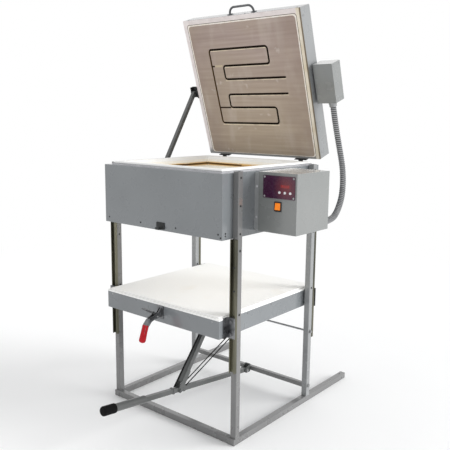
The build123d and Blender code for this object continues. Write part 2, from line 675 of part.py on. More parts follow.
with BuildPart() as terminal_block:
    with BuildSketch(Plane.YZ.offset(BOX_LEFT + SHEET)) as terminal_base:
        with Locations((BOX_Y + RELAY_SET_BACK, BOX_Z - TERMINAL_DROP)):
            Rectangle(*TERMINAL_SIZE[:2])
    extrude(amount=TERMINAL_SIZE[2])
    with BuildSketch(Plane.YZ.offset(BOX_LEFT + SHEET + TERMINAL_SIZE[2])) as terminal_wells:
        with Locations((BOX_Y + RELAY_SET_BACK, BOX_Z - TERMINAL_DROP)):
            with GridLocations(*TERMINAL_PITCH, *TERMINAL_COUNT):
                Circle(TERMINAL_WELL)
    extrude(amount=-TERMINAL_WELL_DEPTH, mode=Mode.SUBTRACT)
finish(terminal_block, "terminal_block")

# Rocker switch: a bezel with its body in the box's front, and the rocker on its axle
BEZEL_WINDOW_X = BEZEL_WIDTH - 2 * BEZEL_FRAME
BEZEL_WINDOW_Z = BEZEL_HEIGHT - 2 * BEZEL_FRAME
ROCKER_AXIS_Y = BOX_FRONT + ROCKER_AXIS_IN
ROCKER_PIN_HALF = BEZEL_WINDOW_X / 2 + ROCKER_PIN_REACH
with BuildPart() as rocker_bezel:
    with BuildSketch(Plane.XZ.offset(-BOX_FRONT)) as bezel_outline:
        with Locations((ROCKER_X, ROCKER_Z)):
            RectangleRounded(BEZEL_WIDTH, BEZEL_HEIGHT, 2.5)
    extrude(amount=BEZEL_PROUD)
    fillet(rocker_bezel.faces().sort_by(Axis.Y)[0].edges(), 1)
    with BuildSketch(Plane.XZ.offset(-BOX_FRONT)) as bezel_body:
        with Locations((ROCKER_X, ROCKER_Z)):
            Rectangle(BEZEL_WIDTH - BEZEL_FRAME, BEZEL_HEIGHT - BEZEL_FRAME)
    extrude(amount=-BEZEL_DEPTH)
    with BuildSketch(Plane.XZ.offset(-BOX_FRONT + 2 * BEZEL_PROUD)) as bezel_window:
        with Locations((ROCKER_X, ROCKER_Z)):
            Rectangle(BEZEL_WINDOW_X, BEZEL_WINDOW_Z)
    extrude(amount=-(2 * BEZEL_PROUD + BEZEL_WELL), mode=Mode.SUBTRACT)
    with BuildSketch(Plane.YZ.offset(ROCKER_X - ROCKER_PIN_HALF - PIN_CLEARANCE)) as pin_seats:
        with Locations((ROCKER_AXIS_Y, ROCKER_Z)):
            Circle(ROCKER_PIN + PIN_CLEARANCE)
    extrude(amount=2 * (ROCKER_PIN_HALF + PIN_CLEARANCE), mode=Mode.SUBTRACT)
finish(rocker_bezel, "rocker_bezel")

with BuildPart() as rocker_switch:
    with BuildSketch(Plane.YZ.offset(ROCKER_X - BEZEL_WINDOW_X / 2 + ROCKER_GAP / 2)) as rocker_profile:
        with BuildLine():
            Polyline(*[(BOX_FRONT + inward, ROCKER_Z + rise) for inward, rise in ROCKER_POINTS], close=True)
        make_face()
    extrude(amount=BEZEL_WINDOW_X - ROCKER_GAP)
    with BuildSketch(Plane.YZ.offset(ROCKER_X - ROCKER_PIN_HALF)) as rocker_pins:
        with Locations((ROCKER_AXIS_Y, ROCKER_Z)):
            Circle(ROCKER_PIN)
    extrude(amount=2 * ROCKER_PIN_HALF)
finish(rocker_switch, "rocker_switch")

# Hinges on the rear of the case: plates with two knuckles, leaves with one, and pins
KNUCKLE = HINGE_WIDTH / 3
HINGE_XS = (-HINGE_X, HINGE_X)
with BuildPart() as hinge_bases:
    for centre in HINGE_XS:
        with BuildSketch(Plane.YZ.offset(centre - HINGE_WIDTH / 2)) as base_profile:
            with Locations((CASE_BACK + HINGE_PLATE / 2, CASE_TOP - HINGE_DROP - HINGE_PLATE_HEIGHT / 2)):
                Rectangle(HINGE_PLATE, HINGE_PLATE_HEIGHT)
            with Locations((HINGE_Y - HINGE_BEHIND / 2, CASE_TOP - HINGE_DROP - HINGE_PLATE / 2)):
                Rectangle(HINGE_BEHIND, HINGE_PLATE)
            with Locations((HINGE_Y, HINGE_Z)):
                Circle(HINGE_BARREL)
                Circle(HINGE_PIN_RADIUS + PIN_CLEARANCE, mode=Mode.SUBTRACT)
        extrude(amount=HINGE_WIDTH)
        with BuildSketch(Plane.YZ.offset(centre - KNUCKLE / 2 - SIDE_PLAY)) as base_gap:
            with Locations((HINGE_Y, HINGE_Z)):
                Rectangle(2 * HINGE_BARREL + SIDE_PLAY, 2 * HINGE_BARREL + SIDE_PLAY)
        extrude(amount=KNUCKLE + 2 * SIDE_PLAY, mode=Mode.SUBTRACT)
finish(hinge_bases, "hinge_bases")

with BuildPart() as hinge_pins:
    for centre in HINGE_XS:
        with BuildSketch(Plane.YZ.offset(centre - HINGE_WIDTH / 2 - HINGE_PIN_OVER)) as pin_section:
            with Locations((HINGE_Y, HINGE_Z)):
                Circle(HINGE_PIN_RADIUS)
        extrude(amount=HINGE_WIDTH + 2 * HINGE_PIN_OVER)
finish(hinge_pins, "hinge_pins")


def lid_offset(distance):
    """The lid's plane moved along its normal: minus goes towards the lid's back."""
    return LID_PLANE.offset(distance)


with BuildPart() as hinge_leaves:
    for centre in HINGE_XS:
        side_plane = Plane(origin=(centre - KNUCKLE / 2, HINGE_Y, HINGE_Z), x_dir=LID_DIRECTION, z_dir=(1, 0, 0))
        with BuildSketch(side_plane) as leaf_barrel:
            Circle(HINGE_BARREL)
            with Locations((LID_START / 2, -SIDE_PLAY - LEAF_ARM / 2)):
                Rectangle(LID_START, LEAF_ARM)
            Circle(HINGE_PIN_RADIUS + PIN_CLEARANCE, mode=Mode.SUBTRACT)
        extrude(amount=KNUCKLE)
        wide_plane = Plane(origin=(centre - HINGE_WIDTH / 2, HINGE_Y, HINGE_Z), x_dir=LID_DIRECTION, z_dir=(1, 0, 0))
        with BuildSketch(wide_plane) as leaf_plate:
            with Locations((LID_START - HINGE_PLATE / 2, -SIDE_PLAY - LEAF_DEPTH / 2)):
                Rectangle(HINGE_PLATE, LEAF_DEPTH)
        extrude(amount=HINGE_WIDTH)
finish(hinge_leaves, "hinge_leaves")

# Lid: sheet pan, fibre lining with a groove, and the element in it
with BuildPart() as lid_case:
    with BuildSketch(lid_offset(LID_BACK)) as lid_outline:
        with Locations((0, LID_MIDDLE)):
            RectangleRounded(LID_WIDTH, LID_LENGTH, 3)
    extrude(amount=LID_THICKNESS - LINING_PROUD)
    with BuildSketch(lid_offset(LID_BACK + SHEET)) as lid_cavity:
        with Locations((0, LID_MIDDLE)):
            Rectangle(LID_WIDTH - 2 * SHEET, LID_LENGTH - 2 * SHEET)
    extrude(amount=LID_THICKNESS, mode=Mode.SUBTRACT)
finish(lid_case, "lid_case")

near, middle, far = ELEMENT_ROWS
ELEMENT_PATH = [
    (ELEMENT_FEED_X, ELEMENT_MIDDLE + near),
    (-ELEMENT_TURN_X, ELEMENT_MIDDLE + near),
    (-ELEMENT_TURN_X, ELEMENT_MIDDLE + middle),
    (ELEMENT_TURN_X, ELEMENT_MIDDLE + middle),
    (ELEMENT_TURN_X, ELEMENT_MIDDLE + far),
    (-ELEMENT_SIDE_X, ELEMENT_MIDDLE + far),
    (-ELEMENT_SIDE_X, ELEMENT_MIDDLE - far),
    (ELEMENT_TURN_X, ELEMENT_MIDDLE - far),
    (ELEMENT_TURN_X, ELEMENT_MIDDLE - middle),
    (-ELEMENT_TURN_X, ELEMENT_MIDDLE - middle),
    (-ELEMENT_TURN_X, ELEMENT_MIDDLE - near),
    (ELEMENT_FEED_X, ELEMENT_MIDDLE - near),
]
with BuildPart() as lid_lining:
    with BuildSketch(lid_offset(LID_BACK + SHEET)) as lid_board:
        with Locations((0, LID_MIDDLE)):
            Rectangle(LID_WIDTH - 2 * SHEET, LID_LENGTH - 2 * SHEET)
    extrude(amount=LID_THICKNESS - SHEET)
    with BuildSketch(lid_offset(-LID_FACE_DROP)) as lid_groove:
        with BuildLine() as groove_line:
            FilletPolyline(*ELEMENT_PATH, radius=GROOVE_CORNER)
        trace(line_width=GROOVE_WIDTH)
    extrude(amount=-GROOVE_DEPTH, mode=Mode.SUBTRACT)
finish(lid_lining, "lid_lining")

with BuildPart() as lid_element:
    with BuildLine(lid_offset(-LID_FACE_DROP - GROOVE_DEPTH + ELEMENT_RADIUS + ELEMENT_SEAT)) as element_line:
        FilletPolyline(*ELEMENT_PATH, radius=GROOVE_CORNER)
    with BuildSketch(Plane(origin=element_line.line @ 0, z_dir=element_line.line % 0)):
        RegularPolygon(ELEMENT_RADIUS, ELEMENT_SIDES)
    sweep()
finish(lid_element, "lid_element")

# Bow handle on the lid's free edge
BOW_MIDDLE = -LID_FACE_DROP - LID_THICKNESS / 2
LID_FREE = LID_START + LID_LENGTH
with BuildPart() as lid_handle:
    with BuildLine(lid_offset(BOW_MIDDLE)) as bow_line:
        FilletPolyline(
            (-BOW_SPAN / 2, LID_FREE),
            (-BOW_SPAN / 2, LID_FREE + BOW_HEIGHT - BOW_ROD),
            (BOW_SPAN / 2, LID_FREE + BOW_HEIGHT - BOW_ROD),
            (BOW_SPAN / 2, LID_FREE),
            radius=BOW_CORNER,
        )
    with BuildSketch(Plane(origin=bow_line.line @ 0, z_dir=bow_line.line % 0)):
        Circle(BOW_ROD)
    sweep()
    foot_plane = Plane(
        origin=LID_PLANE.from_local_coords((0, LID_FREE, BOW_MIDDLE)),
        x_dir=(1, 0, 0),
        z_dir=LID_DIRECTION,
    )
    with BuildSketch(foot_plane) as bow_feet:
        with Locations((-BOW_SPAN / 2, 0), (BOW_SPAN / 2, 0)):
            Circle(BOW_FOOT)
    extrude(amount=BOW_FOOT_HEIGHT)
finish(lid_handle, "lid_handle")

# Junction box on the lid's controller side, on four spacers
JUNCTION_LEFT = LID_WIDTH / 2 + JUNCTION_GAP
JUNCTION_X = JUNCTION_LEFT + JUNCTION_WIDTH / 2
JUNCTION_BACK = -LID_FACE_DROP - JUNCTION_SETBACK - JUNCTION_DEPTH
JUNCTION_MIDDLE = JUNCTION_START + JUNCTION_LENGTH / 2
with BuildPart() as junction_box:
    with BuildSketch(lid_offset(JUNCTION_BACK)) as junction_outline:
        with Locations((JUNCTION_X, JUNCTION_MIDDLE)):
            RectangleRounded(JUNCTION_WIDTH, JUNCTION_LENGTH, 2)
    extrude(amount=JUNCTION_DEPTH)
    with BuildSketch(lid_offset(JUNCTION_BACK + SHEET)) as junction_cavity:
        with Locations((JUNCTION_X, JUNCTION_MIDDLE)):
            Rectangle(JUNCTION_WIDTH - 2 * SHEET, JUNCTION_LENGTH - 2 * SHEET)
    extrude(amount=JUNCTION_DEPTH - 2 * SHEET, mode=Mode.SUBTRACT)
    spacer_plane = Plane(
        origin=LID_PLANE.from_local_coords((LID_WIDTH / 2, JUNCTION_MIDDLE, JUNCTION_BACK + JUNCTION_DEPTH / 2)),
        x_dir=LID_DIRECTION,
        z_dir=(1, 0, 0),
    )
    with BuildSketch(spacer_plane) as spacers:
        with GridLocations(JUNCTION_LENGTH - 40, JUNCTION_DEPTH / 2, 2, 2):
            Circle(SPACER_RADIUS)
    extrude(amount=JUNCTION_GAP)
finish(junction_box, "junction_box")

# Connectors where the conduit leaves the junction box and enters the control box
lid_port = LID_PLANE.from_local_coords((LID_PORT_X, JUNCTION_START, LID_PORT_DEPTH))
DOWN_LID = tuple(-part for part in LID_DIRECTION)


def make_connector(start, direction):
    """A threaded connector: a hexagonal nut against the box and a round collar."""
    collar_length = CONNECTOR_LENGTH * CONNECTOR_COLLAR
    with BuildPart() as connector:
        with BuildSketch(Plane(origin=start, z_dir=direction)) as nut:
            RegularPolygon(CONNECTOR_RADIUS, 6, major_radius=True)
            Circle(CONDUIT_BORE, mode=Mode.SUBTRACT)
        extrude(amount=CONNECTOR_LENGTH - collar_length)
        with BuildSketch(Plane(origin=start, z_dir=direction).offset(CONNECTOR_LENGTH - collar_length)) as collar:
            Circle(CONNECTOR_RADIUS - CONNECTOR_STEP)
            Circle(CONDUIT_BORE, mode=Mode.SUBTRACT)
        extrude(amount=collar_length)
    return connector


finish(make_connector(lid_port, DOWN_LID), "lid_connector")
finish(make_connector(Vector(CONDUIT_X, BOX_BACK, CONDUIT_Z), (0, 1, 0)), "box_connector")

# Conduit: ribbed metal hose with its bore, on straight runs joined by tangent arcs
CONDUIT_START = lid_port + Vector(*DOWN_LID) * CONNECTOR_LENGTH
CONDUIT_ROUTE = [
    CONDUIT_START,
    CONDUIT_START + Vector(*DOWN_LID) * CONDUIT_DROP,
    *[Vector(*bend) for bend in CONDUIT_BENDS],
    Vector(CONDUIT_X, CONDUIT_LAST_Y, CONDUIT_Z),
    Vector(CONDUIT_X, BOX_BACK + CONNECTOR_LENGTH, CONDUIT_Z),
]


def corner_radii(route):
    """The arc at each corner that uses up a share of the shorter run beside it."""
    radii = []
    for before, corner, after in zip(route, route[1:], route[2:]):
        run_in = corner - before
        run_out = after - corner
        half_turn = math.radians(run_in.get_angle(run_out)) / 2
        radii.append(CONDUIT_BEND_SHARE * min(run_in.length, run_out.length) / math.tan(half_turn))
    return radii


conduit_radii = corner_radii(CONDUIT_ROUTE)
print("conduit radii", [round(radius) for radius in conduit_radii])
with BuildLine() as conduit_line:
    FilletPolyline(*CONDUIT_ROUTE, radius=conduit_radii)
conduit_path = Wire(conduit_line.edges())
print("conduit length", round(conduit_path.length))


def conduit_plane(distance):
    """The plane square to the conduit at a distance along it, with its X axis kept steady."""
    share = distance / conduit_path.length
    tangent = conduit_path % share
    return Plane(origin=conduit_path @ share, x_dir=Vector(1, 0, 0).cross(tangent).cross(tangent) * -1, z_dir=tangent)


rib_count = int((conduit_path.length - 4 * CONDUIT_RADIUS) // RIB_PITCH)
rib_start = (conduit_path.length - rib_count * RIB_PITCH) / 2
rib_rings = [(0, CONDUIT_ROOT)]
for rib in range(rib_count):
    for share, on_crest in RIB_SHARES:
        rib_rings.append((rib_start + (rib + share) * RIB_PITCH, CONDUIT_RADIUS if on_crest else CONDUIT_ROOT))
rib_rings.append((conduit_path.length, CONDUIT_ROOT))
with BuildPart() as conduit:
    for distance, ring_radius in rib_rings:
        with BuildSketch(conduit_plane(distance)):
            RegularPolygon(ring_radius, CONDUIT_SIDES)
    loft(ruled=True)
    with BuildSketch(conduit_plane(0)) as conduit_bore:
        RegularPolygon(CONDUIT_BORE, CONDUIT_SIDES)
    sweep(path=conduit_path, mode=Mode.SUBTRACT)
finish(conduit, "conduit")

# Lid stay: bracket and pin on the lid, the bar that hangs from it, and its guide on the case.
# The guide is as far from the hinge as the pin is, so the bar always points at the guide.
STAY_PIN_N = -STAY_PIN_DROP
stay_pin = LID_PLANE.from_local_coords((STAY_X, STAY_PIN_U, STAY_PIN_N))
STAY_REACH = math.hypot(STAY_PIN_U, STAY_PIN_DROP)
GUIDE_Z = HINGE_Z - GUIDE_DROP
GUIDE_Y = HINGE_Y - math.sqrt(STAY_REACH**2 - GUIDE_DROP**2)
guide_point = Vector(STAY_X, GUIDE_Y, GUIDE_Z)
STAY_DOWN = (guide_point - stay_pin).normalized()
print("stay pin", stay_pin, "guide", guide_point)
BRACKET_INNER = -LID_WIDTH / 2
BRACKET_OUTER = STAY_X - STAY_BAR / 2 - STAY_GAP - BRACKET_SHEET
BRACKET_BACK = STAY_PIN_N - STAY_BAR / 2 - STAY_GAP - BRACKET_SHEET
bracket_plane = Plane(
    origin=LID_PLANE.from_local_coords((0, STAY_PIN_U - STAY_BRACKET_LENGTH / 2, 0)),
    x_dir=(1, 0, 0),
    z_dir=LID_DIRECTION,
)
with BuildPart() as stay_bracket:
    with BuildSketch(bracket_plane) as bracket_channel:
        # Local Y of this plane points to the lid's back
        with BuildLine():
            Polyline(
                (BRACKET_INNER, -STAY_PIN_N - STAY_BAR / 2),
                (BRACKET_INNER, -BRACKET_BACK),
                (BRACKET_OUTER, -BRACKET_BACK),
                (BRACKET_OUTER, -STAY_PIN_N - STAY_BAR / 2),
                (BRACKET_OUTER + BRACKET_SHEET, -STAY_PIN_N - STAY_BAR / 2),
                (BRACKET_OUTER + BRACKET_SHEET, -BRACKET_BACK - BRACKET_SHEET),
                (BRACKET_INNER - BRACKET_SHEET, -BRACKET_BACK - BRACKET_SHEET),
                (BRACKET_INNER - BRACKET_SHEET, -STAY_PIN_N - STAY_BAR / 2),
                close=True,
            )
        make_face()
    extrude(amount=STAY_BRACKET_LENGTH)
    with BuildSketch(Plane(origin=stay_pin - Vector(STAY_X - BRACKET_OUTER, 0, 0), z_dir=(1, 0, 0))):
        Circle(STAY_PIN_RADIUS)
    extrude(amount=BRACKET_INNER - BRACKET_OUTER)
    with BuildSketch(Plane(origin=stay_pin - Vector(STAY_X - BRACKET_OUTER, 0, 0), z_dir=(-1, 0, 0))):
        Circle(1.8 * STAY_PIN_RADIUS)
    extrude(amount=BRACKET_SHEET)
finish(stay_bracket, "stay_bracket")

bar_plane = Plane(origin=stay_pin - Vector(STAY_BAR / 2, 0, 0), x_dir=STAY_DOWN, z_dir=(1, 0, 0))
with BuildPart() as stay_bar:
    with BuildSketch(bar_plane) as bar_outline:
        with Locations((STAY_BAR_LENGTH / 2, 0)):
            Rectangle(STAY_BAR_LENGTH, STAY_BAR)
        Circle(STAY_BAR / 2)
        Circle(STAY_PIN_RADIUS + PIN_CLEARANCE, mode=Mode.SUBTRACT)
    extrude(amount=STAY_BAR)
finish(stay_bar, "stay_bar")

GUIDE_OUTSIDE = STAY_BAR + 2 * (STAY_GAP + GUIDE_WALL)
guide_plane = Plane(origin=guide_point - STAY_DOWN * (GUIDE_LENGTH / 2), x_dir=(1, 0, 0), z_dir=STAY_DOWN)
with BuildPart() as stay_guide:
    with BuildSketch(guide_plane) as guide_section:
        RectangleRounded(GUIDE_OUTSIDE, GUIDE_OUTSIDE, 2)
    extrude(amount=GUIDE_LENGTH)
    with BuildSketch(Plane(origin=(-INNER_X - GUIDE_GAP, GUIDE_Y, GUIDE_Z), z_dir=(-1, 0, 0))) as guide_boss:
        Circle(GUIDE_BOSS)
    extrude(amount=-STAY_X - GUIDE_OUTSIDE / 2 - INNER_X - GUIDE_GAP + GUIDE_WALL / 2)
    with BuildSketch(guide_plane.offset(-GUIDE_LENGTH)) as guide_window:
        Rectangle(STAY_BAR + 2 * STAY_GAP, STAY_BAR + 2 * STAY_GAP)
    extrude(amount=3 * GUIDE_LENGTH, mode=Mode.SUBTRACT)
finish(stay_guide, "stay_guide")

# Table: sheet tray, fibre floor, and the white board with its stepped edge
TABLE_X = INNER_X - TABLE_GAP
TABLE_MIDDLE = TABLE_FRONT + TABLE_DEPTH / 2
TRAY_TOP = TRAY_BOTTOM + TRAY_HEIGHT
with BuildPart() as tray:
    with BuildSketch(Plane.XY.offset(TRAY_BOTTOM)) as tray_outline:
        with Locations((0, TABLE_MIDDLE)):
            RectangleRounded(2 * TABLE_X, TABLE_DEPTH, 3)
    extrude(amount=TRAY_HEIGHT)
    with BuildSketch(Plane.XY.offset(TRAY_BOTTOM + SHEET)) as tray_cavity:
        with Locations((0, TABLE_MIDDLE)):
            Rectangle(2 * (TABLE_X - SHEET), TABLE_DEPTH - 2 * SHEET)
    extrude(amount=TRAY_HEIGHT, mode=Mode.SUBTRACT)
finish(tray, "tray")

with BuildPart() as floor_insulation:
    with BuildSketch(Plane.XY.offset(TRAY_BOTTOM + SHEET)) as floor_outline:
        with Locations((0, TABLE_MIDDLE)):
            Rectangle(2 * (TABLE_X - SHEET), TABLE_DEPTH - 2 * SHEET)
    extrude(amount=TRAY_HEIGHT - SHEET)
finish(floor_insulation, "floor_insulation")

with BuildPart() as table_board:
    with BuildSketch(Plane.XY.offset(TRAY_TOP)) as edge_outline:
        with Locations((0, TABLE_MIDDLE)):
            RectangleRounded(2 * TABLE_X, TABLE_DEPTH, 3)
    extrude(amount=EDGE_HEIGHT)
    with BuildSketch(Plane.XY.offset(TRAY_TOP + EDGE_HEIGHT)) as board_outline:
        with Locations((0, TABLE_MIDDLE)):
            RectangleRounded(2 * (TABLE_X - EDGE_INSET), TABLE_DEPTH - 2 * EDGE_INSET, 4)
    extrude(amount=BOARD_HEIGHT - EDGE_HEIGHT)
    fillet(table_board.faces().sort_by(Axis.Z)[-1].edges(), BOARD_ROUND)
finish(table_board, "table_board")


def make_carriages(rail_y, out):
    """Slides in the rails with plates and flanges that carry one end of the tray."""
    slide_width = RAIL_WIDTH - 2 * (RAIL_WALL + SLIDE_CLEARANCE)
    slide_depth = RAIL_DEPTH - 2 * (RAIL_WALL + SLIDE_CLEARANCE)
    neck_width = RAIL_WIDTH - 2 * (RAIL_LIP + SLIDE_CLEARANCE)
    rail_face = rail_y + out * RAIL_DEPTH
    plate_back = rail_face + out * CARRIAGE_OUTSET
    plate_face = plate_back + out * CARRIAGE_PLATE
    plate_outer = HALF_WIDTH + CARRIAGE_OVERHANG
    slide_middle = rail_y + out * RAIL_DEPTH / 2
    neck_start = slide_middle + out * slide_depth / 2
    with BuildPart() as carriages:
        with BuildSketch(Plane.XY.offset(CARRIAGE_BOTTOM)) as section:
            for side in (-1, 1):
                with Locations((side * SIDE_X, slide_middle)):
                    Rectangle(slide_width, slide_depth)
                with Locations((side * SIDE_X, (slide_middle + plate_face) / 2)):
                    Rectangle(neck_width, abs(plate_face - slide_middle))
                with Locations((side * (TABLE_X + plate_outer) / 2, (plate_back + plate_face) / 2)):
                    Rectangle(plate_outer - TABLE_X, CARRIAGE_PLATE)
                with Locations((side * (TABLE_X + CARRIAGE_PLATE / 2), plate_back + out * CARRIAGE_FLANGE / 2)):
                    Rectangle(CARRIAGE_PLATE, CARRIAGE_FLANGE)
        extrude(amount=CARRIAGE_HEIGHT)
        for side in (-1, 1):
            with BuildSketch(Plane.XZ.offset(-plate_face)) as plate_bolts:
                with Locations([(side * SIDE_X, CARRIAGE_BOTTOM + share * CARRIAGE_HEIGHT) for share in (0.2, 0.8)]):
                    RegularPolygon(PLATE_BOLT, 6, major_radius=False)
            extrude(amount=-out * PLATE_BOLT_HEAD)
            with BuildSketch(Plane.YZ.offset(side * (TABLE_X + CARRIAGE_PLATE))) as flange_bolts:
                flange_y = plate_face + out * (CARRIAGE_FLANGE - CARRIAGE_PLATE) / 2
                with Locations([(flange_y, CARRIAGE_BOTTOM + share * CARRIAGE_HEIGHT) for share in (0.25, 0.75)]):
                    RegularPolygon(PLATE_BOLT, 6, major_radius=False)
            extrude(amount=side * PLATE_BOLT_HEAD)
    return carriages


finish(make_carriages(FRONT_RAIL_Y, -1), "front_carriages")
finish(make_carriages(REAR_RAIL_Y, 1), "rear_carriages")

# Lever: square tube with two cord clips, a round handle tube over its end, and a cap
TILT = math.radians(LEVER_TILT)
LEVER_DIRECTION = Vector(0, -math.cos(TILT), math.sin(TILT))
LEVER_UP = Vector(0, math.sin(TILT), math.cos(TILT))
lever_pivot = Vector(LEVER_X, PIVOT_Y, PIVOT_Z)


def along_lever(distance):
    """The plane square to the lever at a distance from its pivot."""
    return Plane(origin=lever_pivot + LEVER_DIRECTION * distance, x_dir=(1, 0, 0), z_dir=LEVER_DIRECTION)


link_pin = lever_pivot + LEVER_DIRECTION * LEVER_TO_LINK
CLIP_OUTSIDE = LEVER_TUBE + 2 * CLIP_THICKNESS
with BuildPart() as lever_bar:
    with BuildSketch(along_lever(-LEVER_BEHIND)) as lever_section:
        RectangleRounded(LEVER_TUBE, LEVER_TUBE, 2)
    extrude(amount=LEVER_BEHIND + LEVER_FRONT)
    for place in CLIP_PLACES:
        with BuildSketch(along_lever(place - CLIP_LENGTH / 2)) as clip_band:
            RectangleRounded(CLIP_OUTSIDE, CLIP_OUTSIDE, 2.5)
        extrude(amount=CLIP_LENGTH)
    with BuildSketch(along_lever(-2 * LEVER_BEHIND)) as lever_bore:
        Rectangle(LEVER_TUBE - 2 * TUBE_WALL, LEVER_TUBE - 2 * TUBE_WALL)
    extrude(amount=2 * LEVER_FRONT, mode=Mode.SUBTRACT)
    for centre in (lever_pivot, link_pin):
        with BuildSketch(Plane(origin=centre - Vector(TUBE, 0, 0), z_dir=(1, 0, 0))):
            Circle(BOLT_RADIUS)
        extrude(amount=2 * TUBE, mode=Mode.SUBTRACT)
finish(lever_bar, "lever_bar")

with BuildPart() as handle_tube:
    with BuildSketch(along_lever(HANDLE_START)) as handle_section:
        Circle(HANDLE_RADIUS)
        Circle(HANDLE_RADIUS - HANDLE_WALL, mode=Mode.SUBTRACT)
    extrude(amount=HANDLE_LENGTH)
finish(handle_tube, "handle_tube")

CAP_START = HANDLE_START + HANDLE_LENGTH - CAP_OVERLAP
with BuildPart() as handle_cap:
    with BuildSketch(along_lever(CAP_START)) as cap_section:
        Circle(CAP_RADIUS)
    extrude(amount=CAP_LENGTH)
    fillet(handle_cap.faces().sort_by(Axis.Y)[0].edges(), CAP_ROUND)
    with BuildSketch(along_lever(CAP_START)) as cap_bore:
        Circle(HANDLE_RADIUS)
    extrude(amount=CAP_OVERLAP, mode=Mode.SUBTRACT)
finish(handle_cap, "handle_cap")

# Link: square tube between two cheek plates on the lever and a pin in the table's lug
LINK_ANGLE = math.radians(LINK_LEAN)
LINK_DIRECTION = Vector(0, math.sin(LINK_ANGLE), math.cos(LINK_ANGLE))
lug_pin = link_pin + LINK_DIRECTION * LINK_LENGTH
print("link pin", link_pin, "lug pin", lug_pin)


def link_side(x):
    """The upright plane along the link at an X place, with its own X axis up the link."""
    return Plane(origin=Vector(x, link_pin.Y, link_pin.Z), x_dir=LINK_DIRECTION, z_dir=(1, 0, 0))


LINK_HALF = LINK_TUBE / 2
with BuildPart() as link_bar:
    with BuildSketch(link_side(LEVER_X - LINK_HALF)) as link_outline:
        with Locations(((LINK_START + LINK_LENGTH) / 2, 0)):
            Rectangle(LINK_LENGTH - LINK_START, LINK_TUBE)
        with Locations((LINK_LENGTH, 0)):
            Circle(LINK_HALF)
    extrude(amount=LINK_TUBE)
    with BuildSketch(link_side(LEVER_X - LINK_HALF + TUBE_WALL)) as link_bore:
        with Locations(((LINK_START + LINK_LENGTH - LINK_TUBE) / 2 - 1, 0)):
            Rectangle(LINK_LENGTH - LINK_START - LINK_TUBE + 2, LINK_TUBE - 2 * TUBE_WALL)
    extrude(amount=LINK_TUBE - 2 * TUBE_WALL, mode=Mode.SUBTRACT)
    for cheek_x in (LEVER_X - LINK_HALF - CHEEK_THICKNESS, LEVER_X + LINK_HALF):
        with BuildSketch(link_side(cheek_x)) as cheek_outline:
            Circle(CHEEK_RADIUS)
            with Locations((CHEEK_LENGTH / 2, 0)):
                Rectangle(CHEEK_LENGTH, 2 * CHEEK_RADIUS)
            with Locations((CHEEK_LENGTH, 0)):
                Circle(CHEEK_RADIUS)
        extrude(amount=CHEEK_THICKNESS)
    pin_reach = LINK_HALF + CHEEK_THICKNESS
    with BuildSketch(link_side(LEVER_X - pin_reach)) as lower_shank:
        Circle(BOLT_RADIUS - PIN_CLEARANCE)
    extrude(amount=2 * pin_reach)
    lug_reach = LINK_HALF + SIDE_PLAY + LUG_THICKNESS + 1
    with BuildSketch(link_side(LEVER_X - lug_reach)) as upper_shank:
        with Locations((LINK_LENGTH, 0)):
            Circle(BOLT_RADIUS)
    extrude(amount=2 * lug_reach)
    for side in (-1, 1):
        with BuildSketch(link_side(LEVER_X + side * pin_reach)) as lower_heads:
            RegularPolygon(BOLT_HEAD / 2, 6, major_radius=False)
        extrude(amount=side * BOLT_HEAD_THICKNESS)
        with BuildSketch(link_side(LEVER_X + side * lug_reach)) as upper_heads:
            with Locations((LINK_LENGTH, 0)):
                RegularPolygon(BOLT_HEAD / 2, 6, major_radius=False)
        extrude(amount=side * BOLT_HEAD_THICKNESS)
finish(link_bar, "link_bar")

# Lug under the tray: a folded plate with two slotted ears for the link's upper pin
LUG_FRONT = lug_pin.Y - LUG_DRIFT_BACK - BOLT_RADIUS - LUG_CLEARANCE
LUG_REAR = lug_pin.Y + BOLT_RADIUS + LUG_CLEARANCE
LUG_SLOT_LOW = lug_pin.Z - BOLT_RADIUS - LUG_CLEARANCE
LUG_SLOT_HIGH = lug_pin.Z + LUG_DRIFT_UP + BOLT_RADIUS + LUG_CLEARANCE
LUG_HALF = LINK_HALF + SIDE_PLAY
with BuildPart() as link_lug:
    with BuildSketch(Plane.YZ.offset(LEVER_X - LUG_HALF - LUG_THICKNESS)) as lug_outline:
        with Locations(((LUG_FRONT + LUG_REAR) / 2, TRAY_BOTTOM - LUG_DROP / 2)):
            Rectangle(LUG_REAR - LUG_FRONT + 2 * LUG_EDGE, LUG_DROP)
        fillet(lug_outline.vertices().group_by(Axis.Z)[0], LUG_CORNER)
    extrude(amount=2 * (LUG_HALF + LUG_THICKNESS))
    with BuildSketch(Plane.YZ.offset(LEVER_X - LUG_HALF)) as lug_space:
        with Locations(((LUG_FRONT + LUG_REAR) / 2, TRAY_BOTTOM - LUG_THICKNESS - LUG_DROP / 2)):
            Rectangle(4 * LUG_DROP, LUG_DROP)
    extrude(amount=2 * LUG_HALF, mode=Mode.SUBTRACT)
    with BuildSketch(Plane.YZ.offset(LEVER_X - 2 * TUBE)) as lug_slots:
        with Locations(((LUG_FRONT + LUG_REAR) / 2, (LUG_SLOT_LOW + LUG_SLOT_HIGH) / 2)):
            RectangleRounded(LUG_REAR - LUG_FRONT, LUG_SLOT_HIGH - LUG_SLOT_LOW, BOLT_RADIUS)
    extrude(amount=4 * TUBE, mode=Mode.SUBTRACT)
finish(link_lug, "link_lug")

